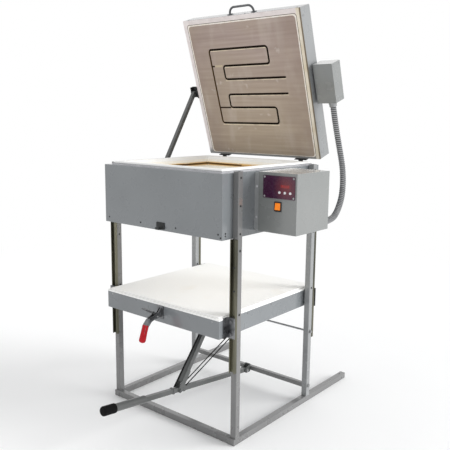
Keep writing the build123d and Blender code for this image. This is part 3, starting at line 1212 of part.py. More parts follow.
# Lift cord: two elastic strands from the rear clip to the rod, each wrapped round the rod
wrap_radius = ROD_RADIUS + LIFT_CORD_RADIUS + CORD_SEAT
cord_foot = (
    lever_pivot
    + LEVER_DIRECTION * (CLIP_PLACES[0] - CLIP_LENGTH / 2 - CORD_SEAT - LIFT_CORD_RADIUS)
    + LEVER_UP * (LEVER_TUBE / 2 + LIFT_CORD_RADIUS + CORD_SEAT)
)
run_y = REAR_LEG_Y - cord_foot.Y
run_z = ROD_HEIGHT - cord_foot.Z
tangent_angle = math.atan2(run_z, run_y) + math.asin(wrap_radius / math.hypot(run_y, run_z))
touch_angle = math.degrees(tangent_angle) + 90
with BuildPart() as lift_cord:
    for strand_x in (LEVER_X - LIFT_CORD_SPREAD, LEVER_X + LIFT_CORD_SPREAD):
        with BuildLine(Plane.YZ.offset(strand_x)) as strand_line:
            wrap = CenterArc((REAR_LEG_Y, ROD_HEIGHT), wrap_radius, touch_angle, -WRAP_TURN)
            Line((cord_foot.Y, cord_foot.Z), tuple(wrap @ 0)[1:])
        strand_path = Wire(strand_line.edges())
        strand_start = Vector(strand_x, cord_foot.Y, cord_foot.Z)
        with BuildSketch(Plane(origin=strand_start, z_dir=(wrap @ 0) - strand_start)):
            Circle(LIFT_CORD_RADIUS)
        sweep(path=strand_path)
finish(lift_cord, "lift_cord")

# Link cord: one thicker elastic cord from the front clip up beside the link
link_cord_start = (
    lever_pivot
    + LEVER_DIRECTION * (CLIP_PLACES[1] - CLIP_LENGTH / 2 - 3 * CORD_SEAT - LINK_CORD_RADIUS)
    + LEVER_UP * (LEVER_TUBE / 2 + LINK_CORD_RADIUS + 2 * CORD_SEAT)
)
link_front = Vector(0, -math.cos(LINK_ANGLE), math.sin(LINK_ANGLE))
link_cord_end = lug_pin + link_front * (LINK_HALF + LINK_CORD_RADIUS + CORD_SEAT) + LINK_DIRECTION * LINK_CORD_OVER
with BuildPart() as link_cord:
    with BuildSketch(Plane(origin=link_cord_start, z_dir=link_cord_end - link_cord_start)):
        Circle(LINK_CORD_RADIUS)
    extrude(amount=(link_cord_end - link_cord_start).length)
finish(link_cord, "link_cord")

# Toggle clamp: base with two cheeks, handle with side plates, red grip, and a rod hook
TOP_Z = CLAMP_BOTTOM + CLAMP_HEIGHT
with BuildPart() as clamp_base:
    with BuildSketch(Plane.XZ.offset(-TABLE_FRONT)) as base_plate:
        with Locations((CLAMP_X, CLAMP_BOTTOM + CLAMP_HEIGHT / 2)):
            RectangleRounded(CLAMP_WIDTH, CLAMP_HEIGHT, 3)
    extrude(amount=CLAMP_PLATE)
    plate_y = TABLE_FRONT - CLAMP_PLATE
    for cheek_x in (CLAMP_X - CLAMP_CHEEK_GAP / 2 - CLAMP_CHEEK, CLAMP_X + CLAMP_CHEEK_GAP / 2):
        with BuildSketch(Plane.YZ.offset(cheek_x)) as clamp_cheek:
            with BuildLine():
                Polyline(
                    (plate_y, CLAMP_PIVOT_Z - CLAMP_EAR),
                    (CLAMP_PIVOT_Y, CLAMP_PIVOT_Z - CLAMP_EAR),
                    (CLAMP_PIVOT_Y - CLAMP_EAR, CLAMP_PIVOT_Z),
                    (CLAMP_PIVOT_Y, CLAMP_PIVOT_Z + CLAMP_EAR),
                    (plate_y, TOP_Z - CLAMP_CHEEK_DROP),
                    close=True,
                )
            make_face()
            with Locations((CLAMP_PIVOT_Y, CLAMP_PIVOT_Z)):
                Circle(CLAMP_EAR)
        extrude(amount=CLAMP_CHEEK)
    with BuildSketch(Plane.YZ.offset(CLAMP_X - CLAMP_CHEEK_GAP / 2 - CLAMP_CHEEK)) as clamp_pin_bore:
        with Locations((CLAMP_PIVOT_Y, CLAMP_PIVOT_Z)):
            Circle(CLAMP_PIN_RADIUS + PIN_CLEARANCE)
    extrude(amount=CLAMP_CHEEK_GAP + 2 * CLAMP_CHEEK, mode=Mode.SUBTRACT)
finish(clamp_base, "clamp_base")

ARM_INNER = CLAMP_CHEEK_GAP / 2 + CLAMP_CHEEK + SIDE_PLAY
ARM_OUTER = ARM_INNER + ARM_THICKNESS
with BuildPart() as clamp_handle:
    for plate_x in (CLAMP_X - ARM_OUTER, CLAMP_X + ARM_INNER):
        with BuildSketch(Plane.YZ.offset(plate_x)) as arm_side:
            with BuildLine():
                FilletPolyline((CLAMP_PIVOT_Y, CLAMP_PIVOT_Z), *ARM_POINTS[:2], radius=20)
            trace(line_width=ARM_WIDTH)
            with Locations((CLAMP_PIVOT_Y, CLAMP_PIVOT_Z), (HOOK_PIVOT_Y, HOOK_PIVOT_Z)):
                Circle(ARM_WIDTH / 2)
            with Locations((HOOK_PIVOT_Y, HOOK_PIVOT_Z)):
                Circle(HOOK_ROD + PIN_CLEARANCE, mode=Mode.SUBTRACT)
        extrude(amount=ARM_THICKNESS)
    with BuildSketch(Plane.YZ.offset(CLAMP_X - ARM_OUTER)) as arm_web:
        with BuildLine():
            FilletPolyline(*ARM_POINTS[1:], radius=14)
        trace(line_width=ARM_WIDTH)
    extrude(amount=2 * ARM_OUTER)
    with BuildSketch(Plane.YZ.offset(CLAMP_X - ARM_OUTER)) as arm_pin:
        with Locations((CLAMP_PIVOT_Y, CLAMP_PIVOT_Z)):
            Circle(CLAMP_PIN_RADIUS)
    extrude(amount=2 * ARM_OUTER)
finish(clamp_handle, "clamp_handle")

grip_top, grip_end = [Vector(CLAMP_X, y, z) for y, z in GRIP_POINTS]
grip_length = (grip_end - grip_top).length
with BuildPart() as clamp_grip:
    with BuildSketch(Plane(origin=grip_top, x_dir=(1, 0, 0), z_dir=grip_end - grip_top)) as grip_collar:
        Circle(GRIP_RADIUS)
    extrude(amount=grip_length, taper=GRIP_TAPER)
    fillet(clamp_grip.faces().sort_by(Axis.Z)[0].edges(), GRIP_ROUND)
    add(clamp_handle.part, mode=Mode.SUBTRACT)
finish(clamp_grip, "clamp_grip")

hook_out = Vector(0, -math.cos(math.radians(HOOK_RISE)), math.sin(math.radians(HOOK_RISE)))
hook_root = Vector(CLAMP_X, HOOK_PIVOT_Y, HOOK_PIVOT_Z)
hook_half = ARM_OUTER + SIDE_PLAY + HOOK_ROD
hook_across = Vector(1, 0, 0)
hook_inset = hook_across * (ARM_INNER + HOOK_SEAT)
hook_points = [
    hook_root - hook_inset,
    hook_root - hook_across * hook_half,
    hook_root - hook_across * hook_half + hook_out * HOOK_LENGTH,
    hook_root + hook_across * hook_half + hook_out * HOOK_LENGTH,
    hook_root + hook_across * hook_half,
    hook_root + hook_inset,
]
with BuildPart() as clamp_hook:
    with BuildLine() as hook_line:
        FilletPolyline(*hook_points, radius=HOOK_CORNERS)
    with BuildSketch(Plane(origin=hook_points[0], z_dir=(-1, 0, 0))):
        Circle(HOOK_ROD)
    sweep()
finish(clamp_hook, "clamp_hook")
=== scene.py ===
# %% [markdown]
# An electric kiln, dressed in cells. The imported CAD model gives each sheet, tube, board and pin its
# true shape and place, and these cells add what CAD leaves out: paint, zinc, fired fibre, the wound
# heating wire, the ribbed conduit, elastic cords, screws and welds. Everything is in metres, X runs
# across the kiln to its controller side, Y runs back and Z runs up from the floor.

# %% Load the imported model
import math

import bmesh
import bpy
from mathutils import Matrix, Vector


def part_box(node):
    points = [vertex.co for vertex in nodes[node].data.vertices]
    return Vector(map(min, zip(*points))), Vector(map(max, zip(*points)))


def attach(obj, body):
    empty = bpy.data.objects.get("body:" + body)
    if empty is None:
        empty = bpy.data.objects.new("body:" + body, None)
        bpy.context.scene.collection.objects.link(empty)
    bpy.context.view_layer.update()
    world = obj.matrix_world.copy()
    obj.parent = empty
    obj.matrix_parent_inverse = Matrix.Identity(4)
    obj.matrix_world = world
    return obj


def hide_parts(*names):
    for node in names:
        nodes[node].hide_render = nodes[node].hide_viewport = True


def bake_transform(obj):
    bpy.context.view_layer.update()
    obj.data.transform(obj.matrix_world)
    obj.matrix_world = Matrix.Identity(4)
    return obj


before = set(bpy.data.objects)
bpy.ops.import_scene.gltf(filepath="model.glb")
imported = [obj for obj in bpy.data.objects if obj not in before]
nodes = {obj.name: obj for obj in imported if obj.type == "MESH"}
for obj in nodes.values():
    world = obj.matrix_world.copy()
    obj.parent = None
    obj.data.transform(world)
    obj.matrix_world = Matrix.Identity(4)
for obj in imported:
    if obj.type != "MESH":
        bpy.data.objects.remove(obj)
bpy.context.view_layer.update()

# %% [markdown]
# The camera stands to the right of the kiln and looks slightly down at it. A camera could be aimed with
# a constraint, but writing its turn out keeps the small roll of the real one. The image is 450 by 450.

# %% Camera
CAMERA_PLACE = Vector((1.6828, -1.6962, 1.2124))
CAMERA_TURN, CAMERA_DIP, CAMERA_ROLL = 0.694, 0.172, 0.010
CAMERA_LENS = 50.04

level_right = Vector((math.cos(CAMERA_TURN), math.sin(CAMERA_TURN), 0))
forward = Vector((-math.sin(CAMERA_TURN), math.cos(CAMERA_TURN), 0)) * math.cos(CAMERA_DIP)
forward.z = -math.sin(CAMERA_DIP)
level_up = level_right.cross(forward)
right = level_right * math.cos(CAMERA_ROLL) + level_up * math.sin(CAMERA_ROLL)
up = level_up * math.cos(CAMERA_ROLL) - level_right * math.sin(CAMERA_ROLL)

camera = bpy.data.objects.new("camera", bpy.data.cameras.new("camera"))
camera.data.lens = CAMERA_LENS
camera.matrix_world = Matrix.Translation(CAMERA_PLACE) @ Matrix((right, up, -forward)).transposed().to_4x4()
bpy.context.scene.collection.objects.link(camera)
bpy.context.scene.camera = camera
print("camera looks along", [round(part, 3) for part in forward])

# %% [markdown]
# A conduit and an elastic cord are both lines with a skin. The line is a NURBS curve that a few chosen
# points steer, and Blender hands back the fine points along it. A curve's own bevel would give a plain
# tube, so the skin is a loft over rings of points here, and may have ribs.

# %% Tools for cords and wire
def link_new(name, data):
    """A new object in the scene."""
    made = bpy.data.objects.new(name, data)
    bpy.context.scene.collection.objects.link(made)
    return made


def smooth_line(points, steps):
    """Fine points along the NURBS curve that has these control points."""
    curve = bpy.data.curves.new("route", "CURVE")
    curve.dimensions = "3D"
    curve.resolution_u = steps
    spline = curve.splines.new("NURBS")
    spline.points.add(len(points) - 1)
    for made, point in zip(spline.points, points):
        made.co = (*point, 1)
    spline.order_u = 3
    spline.use_endpoint_u = True
    route = link_new("route", curve)
    bpy.context.view_layer.update()
    line = bpy.data.meshes.new_from_object(route)
    fine = [vertex.co.copy() for vertex in line.vertices]
    bpy.data.objects.remove(route)
    bpy.data.meshes.remove(line)
    return fine


def even_steps(points, step):
    """The same line with its points a steady step apart."""
    even, spare = [points[0]], 0.0
    for start, end in zip(points, points[1:]):
        run = (end - start).length
        place = step - spare
        while place <= run:
            even.append(start.lerp(end, place / run))
            place += step
        spare = run - (place - step)
    if (points[-1] - even[-1]).length > step * 0.3:
        even.append(points[-1])
    return even


def line_length(points):
    return sum((end - start).length for start, end in zip(points, points[1:]))


def frames_along(points):
    """Each point with its distance along the line and two axes square to it."""
    tangent = (points[1] - points[0]).normalized()
    side = tangent.orthogonal().normalized()
    distance = 0.0
    for place, point in enumerate(points):
        ahead = (points[min(place + 1, len(points) - 1)] - points[max(place - 1, 0)]).normalized()
        side = tangent.rotation_difference(ahead) @ side
        side = (side - ahead * side.dot(ahead)).normalized()
        tangent = ahead
        if place:
            distance += (point - points[place - 1]).length
        yield point, distance, side, tangent.cross(side)


def circle(middle, across, over, sides, radius_at):
    """Points round a middle. radius_at(angle) gives how far out each one lies."""
    points = []
    for side in range(sides):
        angle = 2 * math.pi * side / sides
        radius = radius_at(angle)
        points.append(middle + across * math.cos(angle) * radius + over * math.sin(angle) * radius)
    return points


def loft(name, rings, closed=False):
    """A smooth skin over rings of points: a tube with ends, or closed on itself like a frame."""
    sides = len(rings[0])
    total = sides * len(rings)
    faces = []
    for ring in range(0, total if closed else total - sides, sides):
        for side in range(sides):
            first, second = ring + side, ring + (side + 1) % sides
            faces.append((first, second, (second + sides) % total, (first + sides) % total))
    if not closed:
        faces += [tuple(reversed(range(sides))), tuple(range(total - sides, total))]
    mesh = bpy.data.meshes.new(name)
    mesh.from_pydata([point for ring in rings for point in ring], [], faces)
    mesh.shade_smooth()
    return link_new(name, mesh)


def skin_along(name, points, sides, radius_at):
    """A closed tube along the points. radius_at(distance, angle) gives its radius."""
    return loft(name, [circle(point, across, over, sides, lambda angle: radius_at(distance, angle))
                       for point, distance, across, over in frames_along(points)])


print("skins are made of rings, square to their line")

# %% [markdown]
# The flexible conduit is a steel strip wound into a hose, so its ribs are one long screw. Separate rings
# would look alike from afar, but here each ring's radius follows its angle too, which winds the rib. The
# hose leaves the lid's box, hangs behind the kiln and enters the back of the control box. The lid moves,
# so the top of the hose follows the lid and its foot follows the stand.

# %% Conduit
CONDUIT_ROUTE = [
    Vector((0.373, 0.5526, 1.2562)),
    Vector((0.373, 0.5776, 1.1802)),
    Vector((0.392, 0.580, 1.095)),
    Vector((0.418, 0.574, 1.000)),
    Vector((0.440, 0.538, 0.905)),
    Vector((0.456, 0.471, 0.842)),
    Vector((0.465, 0.411, 0.819)),
    Vector((0.465, 0.3503, 0.819)),
]
CONDUIT_RADIUS = 0.0127
RIB_DEPTH = 0.0022
RIB_PITCH = 0.0085
END_SLEEVE = 0.008
CONDUIT_SIDES = 28

conduit_line = even_steps(smooth_line(CONDUIT_ROUTE, 24), 0.0011)
conduit_length = line_length(conduit_line)


def rib_rise(distance, angle):
    """1 on the crest of the wound rib, 0 in the valley and where the hose enters its connectors."""
    turn = (distance / RIB_PITCH + angle / (2 * math.pi)) % 1
    rise = min(1, max(0, 3.2 * (0.5 - abs(turn - 0.5)) - 0.25))
    inside = min(1, distance / END_SLEEVE, (conduit_length - distance) / END_SLEEVE)
    return rise * max(0, inside)


def rib_radius(distance, angle):
    return CONDUIT_RADIUS - RIB_DEPTH * (1 - rib_rise(distance, angle))


conduit = skin_along("conduit_hose", conduit_line, CONDUIT_SIDES, rib_radius)
crest = conduit.data.attributes.new("crest", "FLOAT", "POINT")
rises = [rib_rise(place[1], 2 * math.pi * side / CONDUIT_SIDES)
         for place in frames_along(conduit_line) for side in range(CONDUIT_SIDES)]
crest.data.foreach_set("value", rises)
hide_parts("conduit")
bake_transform(conduit)
print("conduit", round(conduit_length, 3), "m")

# %% [markdown]
# Two thin elastic strands pull the lever up: each leaves the lever's rear clip and wraps round the rod
# between the rear legs. A thicker one runs beside the link. They are stretched straight, so each route is
# one long run, and the thin ones end in an arc round the rod.

# %% Elastic cords
LEVER_X = 0.016
LEVER_PIVOT = Vector((LEVER_X, 0.4573, 0.066))
LEVER_TILT = math.radians(7.07)
LEVER_DIRECTION = Vector((0, -math.cos(LEVER_TILT), math.sin(LEVER_TILT)))
LEVER_UP = Vector((0, math.sin(LEVER_TILT), math.cos(LEVER_TILT)))
LEVER_HALF = 0.009525
REAR_CLIP, FRONT_CLIP, LEVER_TO_LINK = 0.4059, 0.4649, 0.43934
CORD_SEAT = 0.0003
STRAND_RADIUS = 0.0023
STRAND_SPREAD = 0.009
ROD_PLACE = Vector((LEVER_X, 0.4928, 0.315))
WRAP_RADIUS = 0.0066
WRAP_TURNED = math.radians(250)
WRAP_STEPS = 6


def braid(radius, pitch):
    """The radius of a braided cover: two sets of threads that cross."""
    def radius_at(distance, angle):
        one = math.sin(6 * angle + 2 * math.pi * distance / pitch)
        other = math.sin(6 * angle - 2 * math.pi * distance / pitch)
        return radius * (0.95 + 0.05 * max(one, other))
    return radius_at


def beside_rod(angle, radius):
    """A point that far from the rod's middle, at this angle round it."""
    return ROD_PLACE + Vector((0, math.cos(angle), math.sin(angle))) * radius


strand_foot = LEVER_PIVOT + LEVER_DIRECTION * REAR_CLIP + LEVER_UP * (LEVER_HALF + STRAND_RADIUS + CORD_SEAT)
reach = ROD_PLACE - strand_foot
meets = math.atan2(reach.z, reach.y) + math.asin(WRAP_RADIUS / math.hypot(reach.y, reach.z)) + math.pi / 2
wrap_step = WRAP_TURNED / WRAP_STEPS
corner_radius = WRAP_RADIUS / math.cos(wrap_step / 2)
touch = beside_rod(meets, WRAP_RADIUS)
wrap_route = [strand_foot, strand_foot.lerp(touch, 0.97), touch]
wrap_route += [beside_rod(meets - wrap_step * (step + 0.5), corner_radius) for step in range(WRAP_STEPS)]
wrap_route.append(beside_rod(meets - WRAP_TURNED, WRAP_RADIUS))
for side, name in ((-1, "lift_cord_left"), (1, "lift_cord_right")):
    shift = Vector((side * STRAND_SPREAD, 0, 0))
    line = even_steps(smooth_line([point + shift for point in wrap_route], 16), 0.0016)
    strand = skin_along(name, line, 12, braid(STRAND_RADIUS, 0.009))
    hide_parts("lift_cord")
    line_length(line)
    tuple(line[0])
    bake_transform(strand)
    print(name, round(line_length(line), 3), "m")

LINK_PIN = LEVER_PIVOT + LEVER_DIRECTION * LEVER_TO_LINK
LINK_ANGLE = math.radians(36.86)
LINK_DIRECTION = Vector((0, math.sin(LINK_ANGLE), math.cos(LINK_ANGLE)))
LINK_FRONT = Vector((0, -math.cos(LINK_ANGLE), math.sin(LINK_ANGLE)))
LINK_REACH, LINK_HALF = 0.34889, 0.0101
LINK_CORD_RADIUS = 0.0036
link_foot = (LEVER_PIVOT + LEVER_DIRECTION * FRONT_CLIP
             + LEVER_UP * (LEVER_HALF + LINK_CORD_RADIUS + 2 * CORD_SEAT))
link_head = LINK_PIN + LINK_DIRECTION * LINK_REACH + LINK_FRONT * (LINK_HALF + LINK_CORD_RADIUS + CORD_SEAT)
line = even_steps(smooth_line([link_foot, link_foot.lerp(link_head, 0.5), link_head], 60), 0.002)
link_cord = skin_along("link_cord_cover", line, 14, braid(LINK_CORD_RADIUS, 0.012))
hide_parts("link_cord")
line_length(line)
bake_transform(link_cord)
print("link cord", round(line_length(line), 3), "m")

# %% [markdown]
# Every finish below starts from the same few moves. A cloud of noise, stretched where a finish has a
# grain, becomes a share between 0 and 1. That share mixes two colours, changes the gloss, or lifts the
# surface as bump. The pattern is tied to the object's own metres, so its scale is real. A node's socket
# knows the tree it is in, so the tree is named only where a pattern begins.

# %% Tools for finishes
def screen_colour(red, green, blue):
    """A colour as a screen shows it, from 0 to 255, in the linear numbers that Blender mixes."""
    def linear(part):
        part /= 255
        return part / 12.92 if part <= 0.04045 else ((part + 0.055) / 1.055) ** 2.4
    return (linear(red), linear(green), linear(blue), 1)


def new_finish(name):
    finish = bpy.data.materials.new(name)
    finish.use_nodes = True
    return finish, finish.node_tree, finish.node_tree.nodes["Principled BSDF"]


def put(socket, value):
    """Links a pattern to a socket, or sets a value on it. Three numbers on a colour are a screen's."""
    if isinstance(value, bpy.types.NodeSocket):
        socket.id_data.links.new(value, socket)
    elif socket.type == "RGBA" and len(value) == 3:
        socket.default_value = screen_colour(*value)
    else:
        socket.default_value = value


def node(tree, kind, *values, operation=None):
    """A new node with these values on its first sockets."""
    made = tree.nodes.new(kind)
    if operation:
        made.operation = operation
    for socket, value in zip(made.inputs, values):
        put(socket, value)
    return made


def where_on(tree, stretch=(1, 1, 1)):
    """The place on the object in metres, stretched."""
    mapping = node(tree, "ShaderNodeMapping", node(tree, "ShaderNodeTexCoord").outputs["Object"])
    mapping.inputs["Scale"].default_value = stretch
    return mapping.outputs["Vector"]


def spread(value, low, high, to_low=0.0, to_high=1.0):
    """Stretches a value from low..high to to_low..to_high, and stops at the ends."""
    return node(value.id_data, "ShaderNodeMapRange", value, low, high, to_low, to_high).outputs["Result"]


def cloud(tree, scale, detail, low=0.3, high=0.7, stretch=(1, 1, 1)):
    """Soft noise as a share from 0 to 1. Scale counts its lumps per metre."""
    made = node(tree, "ShaderNodeTexNoise", where_on(tree, stretch))
    made.inputs["Scale"].default_value = scale
    made.inputs["Detail"].default_value = detail
    return spread(made.outputs["Fac"], low, high)


def uneven(tree, scale, detail, low, high, stretch=(1, 1, 1)):
    """A number that drifts between two values, as roughness does."""
    return spread(cloud(tree, scale, detail, stretch=stretch), 0, 1, low, high)


def times(first, second):
    """The product of two shares."""
    return node(first.id_data, "ShaderNodeMath", first, second, operation="MULTIPLY").outputs[0]


def either(first, second):
    """The greater of two shares."""
    return node(first.id_data, "ShaderNodeMath", first, second, operation="MAXIMUM").outputs[0]


def mix(share, first, second):
    """The first colour where the share is 0, the second where it is 1."""
    made = share.id_data.nodes.new("ShaderNodeMix")
    made.data_type = "RGBA"
    for socket, value in ((0, share), (6, first), (7, second)):
        put(made.inputs[socket], value)
    return made.outputs[2]


def paint(shader, colour, rough, shine=0.5, metal=0.0, coat=0.0):
    """Sets the shader. Colour and roughness may be patterns, the rest are plain numbers."""
    shader.inputs["Specular IOR Level"].default_value = shine
    shader.inputs["Metallic"].default_value = metal
    shader.inputs["Coat Weight"].default_value = coat
    put(shader.inputs["Base Color"], colour)
    put(shader.inputs["Roughness"], rough)


def lift(shader, height, depth):
    """Bump: the height pattern stands up to this many metres."""
    tree = shader.id_data
    bump = tree.nodes.new("ShaderNodeBump")
    bump.inputs["Strength"].default_value = 1
    bump.inputs["Distance"].default_value = depth
    put(bump.inputs["Height"], height)
    if shader.inputs["Normal"].is_linked:
        tree.links.new(shader.inputs["Normal"].links[0].from_socket, bump.inputs["Normal"])
    tree.links.new(bump.outputs["Normal"], shader.inputs["Normal"])


def edges_of(tree, width):
    """A share that is 1 on sharp edges: there a rounded normal differs from the true one."""
    rounded = node(tree, "ShaderNodeBevel", width)
    rounded.samples = 4
    true = node(tree, "ShaderNodeNewGeometry")
    alike = node(tree, "ShaderNodeVectorMath", rounded.outputs["Normal"], true.outputs["Normal"],
                 operation="DOT_PRODUCT")
    return spread(alike.outputs["Value"], 0.995, 0.8)


def measure(tree, direction, start=(0, 0, 0)):
    """How far each place lies along a direction from a start point, in metres."""
    reached = node(tree, "ShaderNodeVectorMath", where_on(tree), direction, operation="DOT_PRODUCT")
    begun = Vector(direction).dot(Vector(start))
    return node(tree, "ShaderNodeMath", reached.outputs["Value"], begun, operation="SUBTRACT").outputs[0]


def size_of(value):
    """A number without its sign."""
    return node(value.id_data, "ShaderNodeMath", value, operation="ABSOLUTE").outputs[0]


def dress(finish, *names):
    """Gives a finish to CAD nodes or to pieces."""
    for name in names:
        piece = nodes.get(name) or bpy.data.objects[name]
        piece.data.materials.clear()
        piece.data.materials.append(finish)


print("patterns are measured in metres")

# %% [markdown]
# The kiln stands on a plain pale floor in a white studio. A round white world lights it evenly, and one
# broad sun from behind the controller side makes those faces lighter, as a wide window would, and leaves
# the case beside the control box in its shade. The world is white to the camera and in reflections, but
# weaker as a light, so that greys keep the tone they have. The sun itself isn't mirrored, as with a
# polarised lamp: else its glare would wash out the lid's back.

# %% Floor and light
WORLD_STRENGTH = 0.80
SUN_TOWARDS = Vector((0.79, 0.50, 0.34))
SUN_STRENGTH = 2.7
SUN_WIDTH = 0.6
FLOOR_SIZE = 16

bpy.context.scene.view_settings.view_transform = "Standard"
world = bpy.data.worlds.new("studio")
world.use_nodes = True
bpy.context.scene.world = world
studio = world.node_tree
studio.nodes.clear()
rays = node(studio, "ShaderNodeLightPath").outputs
in_sight = either(rays["Is Camera Ray"], rays["Is Glossy Ray"])
in_sight = either(in_sight, rays["Is Transmission Ray"])
lit = node(studio, "ShaderNodeBackground", (0.99, 0.995, 1, 1), WORLD_STRENGTH)
white = node(studio, "ShaderNodeBackground", (1, 1, 1, 1), 1)
choice = node(studio, "ShaderNodeMixShader", in_sight, lit.outputs[0], white.outputs[0])
node(studio, "ShaderNodeOutputWorld", choice.outputs[0])

sun = link_new("sun", bpy.data.lights.new("sun", "SUN"))
sun.data.energy = SUN_STRENGTH
sun.data.angle = SUN_WIDTH
sun.visible_glossy = False
sun.rotation_mode = "QUATERNION"
sun.rotation_quaternion = SUN_TOWARDS.to_track_quat("Z", "Y")

floor_mesh = bpy.data.meshes.new("floor")
corners = [(x * FLOOR_SIZE, y * FLOOR_SIZE, -0.0005) for x, y in ((-1, -1), (1, -1), (1, 1), (-1, 1))]
floor_mesh.from_pydata(corners, [], [(0, 1, 2, 3)])
floor = link_new("floor", floor_mesh)
print("sun comes from", [round(part, 2) for part in SUN_TOWARDS])

# %% [markdown]
# The stand, lever and boxes have a satin grey enamel. Sprayed enamel isn't flat: it varies a little in
# tone, has a fine orange-peel skin, and is rubbed lighter on its edges. One recipe serves six greys, which
# differ as the real sheet and tube do, but the rear legs and the bracket beside the control box are painted
# lighter, as painted light. The clear coat is what makes the level tops shine at a low angle, and the tops
# of the boxes get painted light: they are mixed, in patches, towards a pale grey.

# %% Grey enamel
def enamel(name, light, dark, gloss, coat=0.7, top_light_share=0.0):
    finish, tree, shader = new_finish(name)
    tone = cloud(tree, 3.5, 3)
    dust = cloud(tree, 24, 4, 0.45, 0.75)
    rub = times(edges_of(tree, 0.0012), cloud(tree, 40, 3, 0.3, 0.6))
    colour = mix(tone, light, dark)
    colour = mix(times(dust, 0.2), colour, dark)
    rubbed = mix(times(rub, 0.5), colour, (186, 188, 190))
    facing = node(tree, "ShaderNodeSeparateXYZ", node(tree, "ShaderNodeTexCoord").outputs["Normal"])
    # Painted light on the tops: faces that look up are mixed, in patches, towards a pale grey.
    painted_top_light = times(spread(facing.outputs["Z"], 0.6, 0.9), cloud(tree, 9, 3, 0.1, 0.4))
    top_lit = mix(times(painted_top_light, top_light_share), rubbed, (222, 222, 220))
    paint(shader, top_lit, uneven(tree, 18, 3, gloss, gloss + 0.08), coat=coat)
    shader.inputs["Coat Roughness"].default_value = 0.12
    lift(shader, cloud(tree, 700, 1, 0.2, 0.8), 0.00002)
    return finish


stand_enamel = enamel("stand_enamel", (118, 118, 118), (106, 106, 106), 0.25)
case_enamel = enamel("case_enamel", (124, 128, 131), (113, 117, 120), 0.25)
lid_and_lit_leg_enamel = enamel("lid_and_lit_leg_enamel", (142, 144, 145), (130, 132, 133), 0.25)
# The boxes' enamel takes painted light on its tops.
box_enamel = enamel("box_enamel", (132, 134, 133), (121, 124, 123), 0.22, 0.7, 0.75)
dark_enamel = enamel("dark_enamel", (92, 93, 93), (80, 82, 81), 0.3, 0.2)
painted_light_enamel = enamel("painted_light_enamel", (166, 168, 169), (152, 154, 155), 0.25)
dress(stand_enamel, "front_bar", "runners", "front_legs", "rear_cross_bar")
dress(dark_enamel, "lever_clevis", "lever_bar", "handle_tube", "link_bar", "link_lug")
dress(dark_enamel, "stay_bar", "stay_guide")
dress(case_enamel, "firebox_case", "tray")
# The rear legs take the lid's lighter grey as painted light, against the shade that falls on them.
dress(lid_and_lit_leg_enamel, "lid_case", "rear_legs")
dress(box_enamel, "control_box", "control_back_cover", "junction_box")
# The bracket beside the control box is painted lighter, as painted light on a face that stays in shade.
dress(painted_light_enamel, "control_bracket")
print("six grey enamels")

# %% [markdown]
# The rails are zinc plated and handled with oil, so they are dull, olive and streaked along their
# length. The carriages, the clamp and the rod are brighter zinc, the hinges and the clamp's strike are
# dark, and the band round the mouth is pale. Metal needs the shader's metallic value, and its look then
# comes from how rough it is and what it mirrors.

# %% Zinc and steel
def plated(name, light, dark, rough, metal=1.0, streaks=(1, 1, 1)):
    """Plated steel. streaks stretches the stain along one axis."""
    finish, tree, shader = new_finish(name)
    stain = cloud(tree, 30, 5, stretch=streaks)
    dull = uneven(tree, 90, 4, rough, rough + 0.18, streaks)
    paint(shader, mix(stain, light, dark), dull, metal=metal)
    lift(shader, cloud(tree, 500, 2, stretch=streaks), 0.00002)
    return finish


rail_zinc = plated("rail_zinc", (138, 136, 118), (58, 58, 48), 0.32, 0.85, (1, 1, 0.08))
bright_zinc = plated("bright_zinc", (190, 191, 192), (148, 149, 150), 0.28)
bow_steel = plated("bow_steel", (116, 118, 120), (88, 90, 92), 0.34, 0.7)
dark_bracket = plated("dark_bracket", (62, 64, 64), (38, 40, 40), 0.45, 0.5)
rim_steel = plated("rim_steel", (216, 216, 219), (204, 204, 208), 0.45, 0.4)
worn_zinc = plated("worn_zinc", (158, 159, 161), (92, 93, 95), 0.26)
dress(rail_zinc, "front_rails", "rear_rails")
dress(bright_zinc, "cord_rod", "frame_bolts", "hinge_pins", "lid_connector", "box_connector")
dress(bow_steel, "lid_handle")
dress(worn_zinc, "front_carriages", "rear_carriages", "clamp_base", "clamp_handle", "clamp_hook")
dress(dark_bracket, "stay_bracket", "hinge_bases", "hinge_leaves", "strike_plate")
dress(rim_steel, "rim_band")

# The band's upper edge gets a painted shade line, a darker grey where its narrow top ledge meets the white
# board.
BAND_TOP = 1.024
tree = rim_steel.node_tree
shader = tree.nodes["Principled BSDF"]
below_top = measure(tree, (0, 0, 1), (0, 0, BAND_TOP))
bright = shader.inputs["Base Color"].links[0].from_socket
lined = mix(spread(below_top, -0.0014, -0.0006), bright, (128, 128, 132))
put(shader.inputs["Base Color"], lined)

hose_steel, tree, shader = new_finish("hose_steel")
rib = tree.nodes.new("ShaderNodeAttribute")
rib.attribute_name = "crest"
polished = mix(cloud(tree, 40, 3), (186, 187, 188), (160, 161, 163))
# The valleys between the ribs get painted shade: they turn dark grey where the crest share is low.
ribbed = mix(rib.outputs["Fac"], (64, 65, 67), polished)
paint(shader, ribbed, spread(rib.outputs["Fac"], 0, 1, 0.6, 0.36), metal=0.75)
dress(hose_steel, "conduit_hose")
print("zinc on", len([piece for piece in nodes.values() if piece.data.materials[0] == bright_zinc]), "nodes")

# %% [markdown]
# The white boards on the table and round the chamber are pressed ceramic fibre: matt, nearly white, with
# a felt of short fibres, small pits and a few warm smudges. Fine bump at two scales does more for this
# than colour does.

